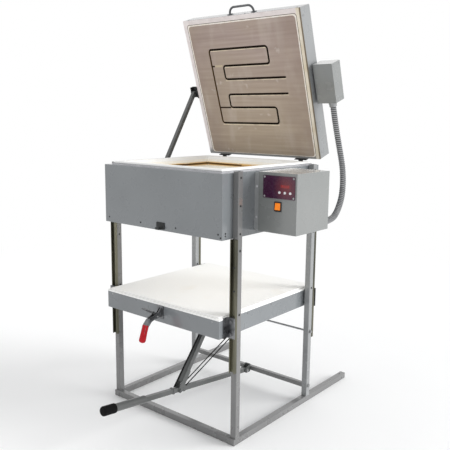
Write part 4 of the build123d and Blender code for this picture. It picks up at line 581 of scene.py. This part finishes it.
# %% White fibre board
def fibre_board(name, pale, shade, smudge):
    finish, tree, shader = new_finish(name)
    felt = cloud(tree, 260, 6)
    marks = cloud(tree, 7, 5, 0.6, 0.85)
    paint(shader, mix(marks, mix(felt, pale, shade), smudge), 0.92, 0.15)
    pits = node(tree, "ShaderNodeTexVoronoi", where_on(tree))
    pits.inputs["Scale"].default_value = 160
    lift(shader, felt, 0.0002)
    lift(shader, spread(pits.outputs["Distance"], 0.05, 0.3), 0.0001)
    return finish


white_board = fibre_board("white_board", (251, 251, 250), (245, 245, 243), (243, 240, 234))
raw_fibre = fibre_board("raw_fibre", (226, 222, 213), (208, 202, 190), (196, 184, 164))
dress(white_board, "top_board", "table_board")
dress(raw_fibre, "floor_insulation", "thermocouple")
print("two fibre boards")

# %% [markdown]
# Inside the chamber the fibre has been fired: it is cream, and golden brown round the groove that holds
# the wire. The height above the floor picks the scorched band, so the stain follows the groove.

# %% Fired chamber wall
GROOVE_HEIGHT = 0.996
SCORCH_REACH = 0.012

chamber_fibre, tree, shader = new_finish("chamber_fibre")
away = size_of(measure(tree, (0, 0, 1), (0, 0, GROOVE_HEIGHT)))
scorch = times(spread(away, SCORCH_REACH, 0.005), cloud(tree, 25, 4, 0.2, 0.5))
cream = mix(cloud(tree, 200, 5), (254, 252, 246), (248, 242, 230))
paint(shader, mix(scorch, cream, (236, 200, 134)), 0.95, 0.1)
lift(shader, cloud(tree, 300, 5), 0.0004)
dress(chamber_fibre, "chamber_lining")
print("chamber scorched round", GROOVE_HEIGHT, "m")

# %% [markdown]
# The lid's lining has been over the heat many times. It is a pinkish grey-brown with fine level streaks
# from the board's making, upright smudges, and a few pale bloom marks. The streaks come from noise squeezed
# across the lid. The lower lip of each run of the groove is cream, partly from broken fibre edges and partly
# as a painted highlight where it catches light from above. The groove's walls darken with depth below the
# face towards near black, partly burnt and partly as painted shade. Two short marks beside it are cuts that
# the maker ran on too far. A painted shade line marks the gap where the metal rim meets the board.

# %% Fired lid lining
LID_LEAN = math.radians(18.26)
LID_HINGE = Vector((0, 0.5743, 1.018))
LID_UP = Vector((0, -math.sin(LID_LEAN), math.cos(LID_LEAN)))
LID_OUT = Vector((0, -math.cos(LID_LEAN), -math.sin(LID_LEAN)))
LINING_FACE = -0.0131
LID_HALF, LID_FOOT, LID_TOP = 0.306, 0.0173, 0.6331
RIM_WIDTH = 0.019
SEAM_GAP = 0.0015
SEAM_X = LID_HALF - RIM_WIDTH - SEAM_GAP
SEAM_TOP = LID_TOP - RIM_WIDTH - SEAM_GAP
FOOT_RIM_SHARE = 0.42
SEAM_FOOT = LID_FOOT + (RIM_WIDTH + SEAM_GAP) * FOOT_RIM_SHARE
GROOVE_TURN, GROOVE_END = 0.124, -0.189
INNER_ROW, MIDDLE_ROW, OUTER_ROW = 0.369, 0.428, 0.500
LID_ROWS = [(0.195, INNER_ROW), (-GROOVE_TURN, INNER_ROW), (-GROOVE_TURN, MIDDLE_ROW),
            (GROOVE_TURN, MIDDLE_ROW), (GROOVE_TURN, OUTER_ROW), (GROOVE_END, OUTER_ROW)]
LID_MIDDLE = 0.335
LIP = 0.0045
LOW_LIP = 2 * LID_MIDDLE - OUTER_ROW - LIP
STUB_END, FILLED_END = -0.172, -0.128


def on_lid(x, along, out):
    """A point given across the lid, up it from the hinge, and out of its inner face, in metres."""
    return LID_HINGE + Vector((x, 0, 0)) + LID_UP * along + LID_OUT * out


def between(value, low, high, soft=0.0008):
    """1 between two limits and 0 outside, with a soft border."""
    return times(spread(value, low - soft, low), spread(value, high + soft, high))


def strip(left, right, low, high):
    """1 inside a rectangle of the lid's face."""
    return times(between(across, left, right), between(upward, low, high))


def level_mark(left, right, row, half):
    """1 on a level mark of the lid's face that is twice half wide."""
    return strip(left, right, row - half, row + half)


fired_lid, tree, shader = new_finish("fired_lid")
streaks = cloud(tree, 26, 5, 0.3, 0.7, (0.12, 1, 3.2))
blotch = cloud(tree, 5, 3, 0.35, 0.7)
smudge = cloud(tree, 13, 4, 0.52, 0.8, (1, 0.3, 0.3))
bloom = cloud(tree, 22, 3, 0.66, 0.8)
across = measure(tree, (1, 0, 0))
sides = size_of(across)
upward = measure(tree, LID_UP, LID_HINGE)
pink = mix(streaks, (181, 164, 156), (161, 144, 136))
khaki = mix(streaks, (186, 171, 153), (166, 151, 134))
taupe = mix(spread(upward, 0.5, 0.15), pink, khaki)
warm = mix(times(blotch, 0.5), taupe, (172, 157, 138))
smudged = mix(times(smudge, 0.55), warm, (203, 192, 185))
baked_side = times(spread(sides, 0.13, 0.27), cloud(tree, 11, 3, 0.25, 0.6))
browned = mix(times(baked_side, 0.6), smudged, (152, 134, 124))
faded = mix(times(bloom, 0.6), browned, (224, 216, 210))
# The lower lip of each run is painted cream: partly its broken fibre edges, partly a painted highlight where
# it catches light from above.
pale_and_lit_lips = strip(GROOVE_END, GROOVE_TURN, LOW_LIP - LIP, LOW_LIP)
for half in (1, -1):
    for (start, along), (end, _) in zip(LID_ROWS[::2], LID_ROWS[1::2]):
        row = LID_MIDDLE + half * (along - LID_MIDDLE) - LIP
        under = strip(min(start, end), max(start, end), row - 0.003, row)
        pale_and_lit_lips = either(pale_and_lit_lips, under)
lips_pale_and_lit = mix(times(pale_and_lit_lips, cloud(tree, 40, 3, 0.2, 0.55)), faded, (222, 208, 184))
overrun = level_mark(GROOVE_END, -GROOVE_TURN, 2 * LID_MIDDLE - MIDDLE_ROW, 0.0032)
stub = level_mark(GROOVE_END, STUB_END, MIDDLE_ROW, 0.0028)
filled = level_mark(STUB_END, FILLED_END, MIDDLE_ROW, 0.004)
patched = mix(times(filled, 0.6), lips_pale_and_lit, (206, 192, 160))
marked = mix(either(overrun, stub), patched, (46, 34, 26))
# Deep in the groove the walls darken towards near black: partly burnt fibre, partly painted shade.
inward = measure(tree, LID_OUT, on_lid(0, 0, LINING_FACE))
sunk = spread(inward, -0.0004, -0.0022)
scorched = mix(between(across, -0.195, -0.183), (30, 22, 17), (104, 76, 42))
groove_scorch_and_shade = mix(sunk, (222, 204, 168), scorched)
# A painted shade line runs along the gap where the metal rim meets the board.
seam_shade_line = either(spread(upward, SEAM_TOP - 0.001, SEAM_TOP),
              spread(upward, SEAM_FOOT + 0.001, SEAM_FOOT))
seam_shade_line = either(spread(sides, SEAM_X - 0.001, SEAM_X), seam_shade_line)
seam_shaded = mix(seam_shade_line, marked, (74, 62, 50))
lined = mix(spread(inward, -0.0001, -0.0004), seam_shaded, groove_scorch_and_shade)
paint(shader, lined, 0.88, 0.2)
lift(shader, streaks, 0.00025)
lift(shader, cloud(tree, 350, 4), 0.0002)
dress(fired_lid, "lid_lining")
print("lid leans back", round(math.degrees(LID_LEAN), 2), "degrees")

# %% [markdown]
# A folded sheet rim holds the lining all round, with a rope gasket along its inner edge. A boolean frame
# would do, but both are closed lofts here: one loop of points for each step of their profile, at its own
# inset from the lid's edge and its own height.

# %% Rim and gasket of the lid
LOOP_CORNER_STEPS = 5


def rounded_loop(half, low, high, corner, steps):
    """Points round a rectangle with rounded corners."""
    loop = []
    middles = ((1, high - corner), (-1, high - corner), (-1, low + corner), (1, low + corner))
    for quarter, (side, middle) in enumerate(middles):
        for step in range(steps + 1):
            angle = math.pi / 2 * (quarter + step / steps)
            x = side * (half - corner) + math.cos(angle) * corner
            loop.append((x, middle + math.sin(angle) * corner))
    return loop


def lid_loop(inset, height):
    """Points round the lid's face at an inset from its edge, which is smaller at the foot."""
    foot = LID_FOOT + inset * FOOT_RIM_SHARE
    edge = rounded_loop(LID_HALF - inset, foot, LID_TOP - inset, 0.003 + 0.4 * inset, LOOP_CORNER_STEPS)
    return [on_lid(x, along, LINING_FACE + height) for x, along in edge]


def lid_moulding(name, profile):
    """A closed frame round the lid from a profile of insets and heights."""
    piece = loft(name, [lid_loop(inset, height) for inset, height in profile], closed=True)
    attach(piece, "lid")
    return piece


RIM_PROFILE = [(0.0004, -0.0022), (0.0004, 0.0002), (0.0012, 0.0004), (RIM_WIDTH - 0.0008, 0.0004),
               (RIM_WIDTH, 0.0001), (RIM_WIDTH, -0.0022)]
GASKET_PROFILE = [(0.0020, -0.002), (0.0022, 0.0001), (0.0036, 0.0006), (0.0060, 0.0006), (0.0074, 0.0),
                  (0.0076, -0.002)]
rim = lid_moulding("lid_rim", RIM_PROFILE)
rim.data.shade_flat()
gasket = lid_moulding("lid_gasket", [(RIM_WIDTH + inset, height) for inset, height in GASKET_PROFILE])

lid_rim_paint, tree, shader = new_finish("lid_rim_paint")
across = measure(tree, (1, 0, 0))
toward_box = spread(across, LID_HALF - RIM_WIDTH - 0.002, LID_HALF - RIM_WIDTH)
outer_edge = spread(across, LID_HALF - 0.0055, LID_HALF - 0.0045)
cream_side = mix(cloud(tree, 14, 4), (238, 231, 218), (212, 198, 170))
baked = mix(outer_edge, cream_side, (112, 98, 78))
# Near the foot the rim gets painted shade: it turns a darker grey there.
foot_shade = spread(measure(tree, LID_UP, LID_HINGE), 0.05, 0.03)
plain = mix(cloud(tree, 30, 4), (236, 228, 226), (222, 212, 210))
shaded = mix(foot_shade, plain, (150, 150, 149))
paint(shader, mix(toward_box, shaded, baked), uneven(tree, 60, 3, 0.35, 0.55))
dress(lid_rim_paint, "lid_rim")

gasket_rope, tree, shader = new_finish("gasket_rope")
paint(shader, mix(cloud(tree, 60, 4), (252, 248, 242), (236, 226, 212)), 0.9)
lift(shader, cloud(tree, 500, 3), 0.0003)
dress(gasket_rope, "lid_gasket")
print("rim", RIM_WIDTH * 1000, "mm wide")

# %% [markdown]
# The heating element is resistance wire wound into a long open coil and laid in its groove. A tube with
# a bumpy surface would do at a distance. Real turns are made here instead, as a thin skin on a screw line
# round the groove's middle, because the dark gaps between them are what the eye knows.

# %% Wound heating wire
WIRE_RADIUS = 0.0007
COIL_RADIUS = 0.0026
COIL_PITCH = 0.0036
TURN_STEPS = 9
WALL_GAP = 0.0035
CORNER_REACH = 0.012


def eased(corners):
    """The corners, each with a point just before and just after it, so that the line stays near them."""
    points = [corners[0]]
    for before, corner, after in zip(corners, corners[1:], corners[2:]):
        points += [corner + (before - corner).normalized() * CORNER_REACH, corner]
        points.append(corner + (after - corner).normalized() * CORNER_REACH)
    return points + [corners[-1]]


def wound_wire(name, corners, body, cad_node):
    """A coil of wire along the corners, in place of a CAD node."""
    middle = even_steps(smooth_line(eased(corners), 8), COIL_PITCH / TURN_STEPS)
    screw = []
    for count, (point, _, across, over) in enumerate(frames_along(middle)):
        angle = 2 * math.pi * count / TURN_STEPS
        screw.append(point + (across * math.cos(angle) + over * math.sin(angle)) * COIL_RADIUS)
    coil = skin_along(name, screw, 4, lambda distance, angle: WIRE_RADIUS)
    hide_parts(cad_node)
    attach(coil, body)
    print(name, "has", round(len(middle) / TURN_STEPS), "turns")


GROOVE_FLOOR = -0.0196
lid_corners = LID_ROWS + [(x, 2 * LID_MIDDLE - along) for x, along in reversed(LID_ROWS)]
lid_route = [on_lid(x, along, GROOVE_FLOOR) for x, along in lid_corners]
wound_wire("lid_heating_wire", lid_route, "lid", "lid_element")

low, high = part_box("wall_element")
coil_height = (low.z + high.z) / 2
back_wire, front_wire = high.y - WALL_GAP, low.y + WALL_GAP
left_wire, right_wire = low.x + WALL_GAP, high.x - WALL_GAP
wall_corners = [(-0.06, back_wire), (left_wire, back_wire), (left_wire, front_wire)]
wall_corners += [(right_wire, front_wire), (right_wire, back_wire), (0.06, back_wire)]
wall_route = [Vector((x, y, coil_height)) for x, y in wall_corners]
wound_wire("wall_heating_wire", wall_route, "stand", "wall_element")


def wire_finish(name, light, dark, rough, piece):
    """Wire with a skin of oxide."""
    finish, tree, shader = new_finish(name)
    dull = uneven(tree, 300, 2, rough, rough + 0.25)
    paint(shader, mix(cloud(tree, 90, 3), light, dark), dull, metal=0.4)
    dress(finish, piece)


# The wire in the wall is a lighter golden brown than the wire in the lid.
wire_finish("oxidised_wire", (36, 28, 22), (62, 46, 32), 0.6, "lid_heating_wire")
wire_finish("golden_wire", (146, 106, 60), (112, 78, 42), 0.5, "wall_heating_wire")

# %% [markdown]
# The clamp's grip is vinyl that the hot handle was dipped in, so it is thin at its mouth, swells towards
# the hand and ends round. A cone would look machined. Here rings of points follow such a swelling along
# the handle's line, and the piece takes the place of the plain CAD grip.

# %% Dipped grip
GRIP_MOUTH = Vector((0.008, -0.1455, 0.432))
GRIP_TIP = Vector((0.008, -0.1670, 0.3680))
GRIP_RINGS = [(0.0, 0.0112), (0.01, 0.0118), (0.12, 0.0119), (0.35, 0.0121), (0.6, 0.0128), (0.78, 0.0133),
              (0.88, 0.0129), (0.94, 0.0115), (0.98, 0.0085), (1.0, 0.0044)]
GRIP_SIDES = 28

ACROSS = Vector((1, 0, 0))
grip_over = (GRIP_TIP - GRIP_MOUTH).normalized().cross(ACROSS)
grip_rings = [circle(GRIP_MOUTH.lerp(GRIP_TIP, share), ACROSS, grip_over, GRIP_SIDES, lambda angle: radius)
              for share, radius in GRIP_RINGS]
grip = loft("dipped_grip", grip_rings)
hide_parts("clamp_grip")
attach(grip, "clamp")
print("grip", round((GRIP_TIP - GRIP_MOUTH).length * 1000), "mm long")

# %% [markdown]
# The control panel is a printed plate under a clear gloss film: deep plum, lighter red round the display.
# The printing itself is left off. Buttons are white gloss plastic, the rocker is clear orange with a lamp
# inside, and their frame is black. The clamp's grip is dipped red vinyl and the lever ends in black rubber.

# %% Plastics and rubber
def moulded(name, colour, second, rough, grain, depth, coat=0.0, shine=0.5):
    """Moulded plastic or rubber: two near colours, a fine grain and maybe a clear coat."""
    finish, tree, shader = new_finish(name)
    varied = mix(cloud(tree, 120, 3), colour, second)
    paint(shader, varied, uneven(tree, 60, 3, rough, rough + 0.1), shine, coat=coat)
    lift(shader, cloud(tree, grain, 2), depth)
    return finish


DISPLAY_MIDDLE = (0.452, 0.1153, 0.968)
panel_film, tree, shader = new_finish("panel_film")
centre = node(tree, "ShaderNodeVectorMath", where_on(tree), DISPLAY_MIDDLE, operation="DISTANCE")
glow = spread(centre.outputs["Value"], 0.055, 0.008)
paint(shader, mix(glow, (58, 14, 50), (104, 14, 34)), uneven(tree, 90, 3, 0.22, 0.34), coat=0.3)
lift(shader, cloud(tree, 900, 1), 0.00001)
dress(panel_film, "controller_plate")

red_window = moulded("red_window", (134, 14, 22), (110, 8, 16), 0.12, 800, 0.000004, 0.5)
white_button = moulded("white_button", (236, 236, 238), (228, 228, 230), 0.25, 900, 0.00001, 0.2)
orange_lens = moulded("orange_lens", (250, 146, 30), (244, 132, 20), 0.2, 600, 0.00001, 0.4)
black_plastic = moulded("black_plastic", (26, 26, 27), (38, 38, 40), 0.45, 1400, 0.00002)
red_vinyl = moulded("red_vinyl", (190, 20, 34), (172, 12, 26), 0.42, 300, 0.00003, 0, 0.25)
black_rubber = moulded("black_rubber", (10, 10, 10), (18, 18, 19), 0.7, 800, 0.00005, 0, 0.12)
cord_braid = moulded("cord_braid", (12, 12, 13), (34, 34, 35), 0.8, 1200, 0.0001, 0, 0.15)
green_card = moulded("green_card", (28, 84, 52), (22, 70, 44), 0.4, 900, 0.00002)
tree = orange_lens.node_tree
shader = tree.nodes["Principled BSDF"]
put(shader.inputs["Emission Color"], (255, 120, 10))
shader.inputs["Emission Strength"].default_value = 0.25
dress(red_window, "display_window")
dress(white_button, "left_button", "middle_button", "right_button")
dress(orange_lens, "rocker_switch")
dress(black_plastic, "rocker_bezel", "relay", "terminal_block")
dress(red_vinyl, "dipped_grip")
dress(black_rubber, "handle_cap")
dress(cord_braid, "lift_cord_left", "lift_cord_right", "link_cord_cover")
dress(green_card, "circuit_board")
print("eight moulded finishes")

# %% [markdown]
# The floor is matt white and takes the kiln's soft shadow. Studios curve their paper up behind the
# object so that no edge shows. Here the floor turns to plain white light with distance instead.

# %% Floor finish
studio_floor, tree, shader = new_finish("studio_floor")
paint(shader, mix(cloud(tree, 3, 2), (0.95, 0.95, 0.95, 1), (0.94, 0.94, 0.94, 1)), 0.9)
far_off = node(tree, "ShaderNodeVectorMath", where_on(tree), operation="LENGTH")
plain_light = node(tree, "ShaderNodeEmission")
blend = node(tree, "ShaderNodeMixShader", spread(far_off.outputs["Value"], 1.2, 3.6),
             shader.outputs[0], plain_light.outputs[0])
tree.links.new(blend.outputs[0], tree.nodes["Material Output"].inputs["Surface"])
dress(studio_floor, "floor")
print("floor", FLOOR_SIZE * 2, "m wide")

# %% [markdown]
# Sheet metal is held by pan head screws, whose dome and cross are small but catch the light. A sphere
# cut in half has no cross, and a boolean for each is slow. Here the dome is rings of points, and the
# points on the cross's arms are pushed in. All the screws of one panel are one mesh. A plate that closes
# the end of a tube is made the same way, from square rings.

# %% Tools for screws and plates
PLATE_STEPS = 4
PLATE_CORNER = 0.14
HEAD_RINGS = ((0.0, 0.50), (0.16, 0.50), (0.34, 0.49), (0.52, 0.46), (0.78, 0.34), (0.95, 0.16), (1.0, 0.0))
HEAD_SIDES = 24
CROSS_DEPTH = 0.34
CROSS_TURN = 0.4
SCREW = 0.0034


def turned_to(facing):
    """The turn that lays local Z along a direction."""
    return Vector(facing).to_track_quat("Z", "Y").to_matrix().to_4x4()


def add_screw(mesh, place, facing, radius):
    """Adds one pan head screw to a bmesh."""
    stand = Matrix.Translation(place) @ turned_to(facing) @ Matrix.Rotation(CROSS_TURN, 4, "Z")
    rings = []
    for share, rise in HEAD_RINGS:
        ring = []
        for side in range(HEAD_SIDES if share else 1):
            on_cross = side % 6 == 0 and share < 0.6
            height = rise - (CROSS_DEPTH if on_cross or share < 0.2 else 0)
            angle = 2 * math.pi * side / HEAD_SIDES
            spot = Vector((math.cos(angle) * share, math.sin(angle) * share, height)) * radius
            ring.append(mesh.verts.new(stand @ spot))
        rings.append(ring)
    for side in range(HEAD_SIDES):
        after = (side + 1) % HEAD_SIDES
        mesh.faces.new((rings[0][0], rings[1][side], rings[1][after]))
        for inner, outer in zip(rings[1:], rings[2:]):
            mesh.faces.new((inner[side], outer[side], outer[after], inner[after]))
    mesh.faces.new(list(reversed(rings[-1])))


def add_plate(mesh, place, facing, half, height):
    """Adds a square plate with rounded corners and a bevelled rim, as closes the end of a tube."""
    stand = Matrix.Translation(Vector(place)) @ turned_to(facing)
    rings = []
    edge = rounded_loop(half, -half, half, PLATE_CORNER * half, PLATE_STEPS)
    for share, rise in ((1.0, -1.0), (1.0, 0.6), (0.97, 1.0)):
        rings.append([mesh.verts.new(stand @ Vector((x * share, y * share, rise * height))) for x, y in edge])
    for inner, outer in zip(rings, rings[1:]):
        for spot in range(len(inner)):
            after = (spot + 1) % len(inner)
            mesh.faces.new((inner[spot], inner[after], outer[after], outer[spot]))
    mesh.faces.new(rings[-1])
    mesh.faces.new(list(reversed(rings[0])))


def one_piece(name, body, finish, mesh):
    """Turns a bmesh into a piece that has a finish and rides on a body."""
    data = bpy.data.meshes.new(name)
    mesh.to_mesh(data)
    mesh.free()
    piece = link_new(name, data)
    dress(finish, name)
    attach(piece, body)
    return piece


def screws(name, body, finish, places, radius=SCREW):
    """One piece that holds all the screws of a panel. Places pair a point with its facing."""
    mesh = bmesh.new()
    for place, facing in places:
        add_screw(mesh, Vector(place), facing, radius)
    one_piece(name, body, finish, mesh).data.shade_smooth()
    print(name, len(places))


print("a screw's head has", len(HEAD_RINGS), "rings")

# %% [markdown]
# The screws sit where the photograph shows them: along the case's lower edge, up the legs, on the
# bracket beside the control box and at the corners of its panel. The face that a screw sits on is read
# from a CAD node's box or from the tubes' sizes, so a screw always touches its sheet.

# %% Screws of the case and the boxes
FRONT, BACK, RIGHT, LEFT = (0, -1, 0), (0, 1, 0), (1, 0, 0), (-1, 0, 0)
TUBE_HALF = 0.0127
LEG_X, FRONT_LEG_Y, REAR_LEG_Y = 0.3238, 0.0068, 0.4928
LEG_OUTSIDE, LEG_INSIDE = LEG_X + TUBE_HALF, LEG_X - TUBE_HALF
PANEL_INSET = 0.0062
COVER_INSET = 0.01

low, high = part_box("firebox_case")
case_spots = ((-0.289, 0.805), (0.2925, 0.805), (0.304, 0.794), (-0.104, 0.803), (0.086, 0.803))
case_places = [((x, low.y, z), FRONT) for x, z in case_spots]
case_places += [((side * high.x, low.y + 0.018, z), (side, 0, 0)) for side in (-1, 1) for z in (0.799, 0.808)]
case_places += [((x, high.y, z), BACK) for x in (-0.29, -0.1, 0.1, 0.29) for z in (0.80, 1.005)]
screws("case_screws", "stand", dark_bracket, case_places)

leg_places = [((side * LEG_OUTSIDE, y, z), (side, 0, 0))
              for side in (-1, 1) for y in (FRONT_LEG_Y, REAR_LEG_Y) for z in (0.5058, 0.803, 0.903, 1.002)]
leg_places += [((LEG_OUTSIDE, FRONT_LEG_Y, 0.7413), RIGHT), ((-LEG_INSIDE, REAR_LEG_Y, 0.506), RIGHT)]
leg_places += [((-LEG_INSIDE, FRONT_LEG_Y, z), RIGHT) for z in (0.502, 0.720)]
low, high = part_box("front_rails")
leg_places += [((0.331, low.y, z), FRONT) for z in (0.598, 0.684)]
screws("leg_screws", "stand", dark_bracket, leg_places, 0.0042)

low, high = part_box("control_bracket")
screws("bracket_screws", "stand", rim_steel, [((0.3195, low.y, z), FRONT) for z in (0.963, 0.850)], 0.0050)


def corners_of(node_name, inset, back=False):
    """Places at the four corners of a plate that faces the front or the back."""
    low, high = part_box(node_name)
    face, facing = (high.y, BACK) if back else (low.y, FRONT)
    return [((x, face, z), facing)
            for x in (low.x + inset, high.x - inset) for z in (low.z + inset, high.z - inset)]


screws("panel_screws", "stand", bright_zinc, corners_of("controller_plate", PANEL_INSET), 0.0040)
screws("cover_screws", "stand", bright_zinc, corners_of("control_back_cover", COVER_INSET, True))

# %% [markdown]
# The lid has its own screws: on its sides, back and top, and on the box at its side. They ride on the
# lid, so they turn with it.

# %% Screws of the lid
LID_BACK = -0.0831
LID_WALL = -0.030
JUNCTION_FACE = 0.401

lid_places = [(on_lid(side * LID_HALF, along, LID_WALL), (side, 0, 0))
              for side in (-1, 1) for along in (0.045, 0.600)]
lid_places += [(on_lid(x, along, LID_BACK), -LID_OUT) for x in (-0.27, 0.27) for along in (0.06, 0.59)]
lid_places += [(on_lid(x, LID_TOP, LID_WALL), LID_UP) for x in (-0.285, -0.03, 0.03, 0.285)]
screws("lid_screws", "lid", bright_zinc, lid_places)
junction_places = [(on_lid(JUNCTION_FACE, along, out), RIGHT)
                   for along in (0.261, 0.399) for out in (-0.044, -0.089)]
screws("junction_screws", "lid", bright_zinc, junction_places, 0.003)

# %% [markdown]
# The tray is screwed to its carriages from the front and from both sides, low on its walls. The clamp's
# handle turns on two rivets, which have the same heads.

# %% Screws of the table and rivets of the clamp
TRAY_SCREW_Z = 0.484
RIVET_Y, RIVET_Z = -0.092, 0.455

low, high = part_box("tray")
tray_places = [((x, low.y, TRAY_SCREW_Z), FRONT) for x in (-0.272, 0.272)]
tray_places += [((side * high.x, y, TRAY_SCREW_Z), (side, 0, 0))
                for side in (-1, 1) for y in (0.1, 0.25, 0.4)]
screws("tray_screws", "table", bright_zinc, tray_places)
low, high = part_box("clamp_handle")
rivet_places = [((low.x, RIVET_Y, RIVET_Z), LEFT), ((high.x, RIVET_Y, RIVET_Z), RIGHT)]
screws("clamp_rivets", "clamp", bright_zinc, rivet_places, 0.0042)

# %% [markdown]
# The runners' front ends are closed with welded plates, so no dark mouth shows at the front corners. They
# are thin, and painted with the tube.

# %% End plates of the runners
mesh = bmesh.new()
for side in (-1, 1):
    add_plate(mesh, (side * LEG_X, -TUBE_HALF, TUBE_HALF), FRONT, TUBE_HALF - 0.0001, 0.0006)
one_piece("runner_end_plates", "stand", stand_enamel, mesh)
print("two end plates")

# %% [markdown]
# The stand's tubes are welded. A weld is a bead of small overlapping ripples in each corner, under the
# same paint. Here it is a thin skin along the joint whose radius pulses, which reads as ripples.

# %% Weld beads
BEAD = 0.0024
RIPPLE = 0.0022
WELD_HALF = 0.011
TUBE_TOP = 2 * TUBE_HALF
CROSS_BAR_TOP = 0.0790


def bead_radius(distance, angle):
    return BEAD * (0.82 + 0.18 * abs(math.sin(math.pi * distance / RIPPLE)))


def weld(name, start, end):
    """One bead of weld between two points."""
    line = even_steps([Vector(start), Vector(end)], RIPPLE / 4)
    made = skin_along(name, line, 10, bead_radius)
    dress(stand_enamel, name)
    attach(made, "stand")


count = 0
for side in (-1, 1):
    for leg_y in (FRONT_LEG_Y, REAR_LEG_Y):
        for face in (-1, 1):
            y = leg_y + face * TUBE_HALF
            if leg_y == FRONT_LEG_Y and face < 0:
                continue
            count += 1
            start, end = side * LEG_X - WELD_HALF, side * LEG_X + WELD_HALF
            weld(f"leg_weld_{count}", (start, y, TUBE_TOP), (end, y, TUBE_TOP))
    for face in (-1, 1):
        count += 1
        corner = (side * LEG_INSIDE, face * TUBE_HALF)
        weld(f"base_weld_{count}", (*corner, 0.004), (*corner, 0.0225))
    count += 1
    inner = side * LEG_INSIDE
    weld(f"bar_weld_{count}", (inner, 0.4835, CROSS_BAR_TOP), (inner, 0.5020, CROSS_BAR_TOP))
print(count, "weld beads")

# %% [markdown]
# The display shows four digits of a number panel. Each digit is seven thin bars, dim as when the kiln
# rests, and standing just proud of the red window so that they can be seen.

# %% Display digits
DIGIT_WIDTH, DIGIT_HEIGHT, BAR = 0.0046, 0.0082, 0.0009
DIGIT_PITCH = 0.0082
LEVEL_TIPS = ((-1, 0), (-0.8, 1), (0.8, 1), (1, 0), (0.8, -1), (-0.8, -1))
UPRIGHT_TIPS = ((0, 1), (1, 0.8), (1, -0.8), (0, -1), (-1, -0.8), (-1, 0.8))
# Each bar: across, upward, and whether it stands upright
BARS = [(0, 1, 0), (0, 0, 0), (0, -1, 0), (-1, 0.5, 1), (1, 0.5, 1), (-1, -0.5, 1), (1, -0.5, 1)]

low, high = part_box("display_window")
window_middle = (low + high) / 2
mesh = bmesh.new()
for digit in range(4):
    middle_x = window_middle.x + (digit - 1.5) * DIGIT_PITCH
    for across, upward, upright in BARS:
        x = middle_x + across * DIGIT_WIDTH / 2
        z = window_middle.z + upward * DIGIT_HEIGHT / 2
        half_x = BAR / 2 if upright else DIGIT_WIDTH * 0.42
        half_z = DIGIT_HEIGHT * 0.21 if upright else BAR / 2
        tips = UPRIGHT_TIPS if upright else LEVEL_TIPS
        ring = [mesh.verts.new((x + tip_x * half_x, low.y - 0.0001, z + tip_z * half_z))
                for tip_x, tip_z in tips]
        mesh.faces.new(ring)
bmesh.ops.recalc_face_normals(mesh, faces=mesh.faces)
raised = bmesh.ops.extrude_face_region(mesh, geom=mesh.faces[:])
moved = [part for part in raised["geom"] if isinstance(part, bmesh.types.BMVert)]
bmesh.ops.translate(mesh, verts=moved, vec=(0, 0.0002, 0))
lit_red = moulded("lit_red", (196, 26, 34), (186, 20, 28), 0.3, 900, 0.00001)
one_piece("display_digits", "stand", lit_red, mesh)
print("four digits of", len(BARS), "bars")
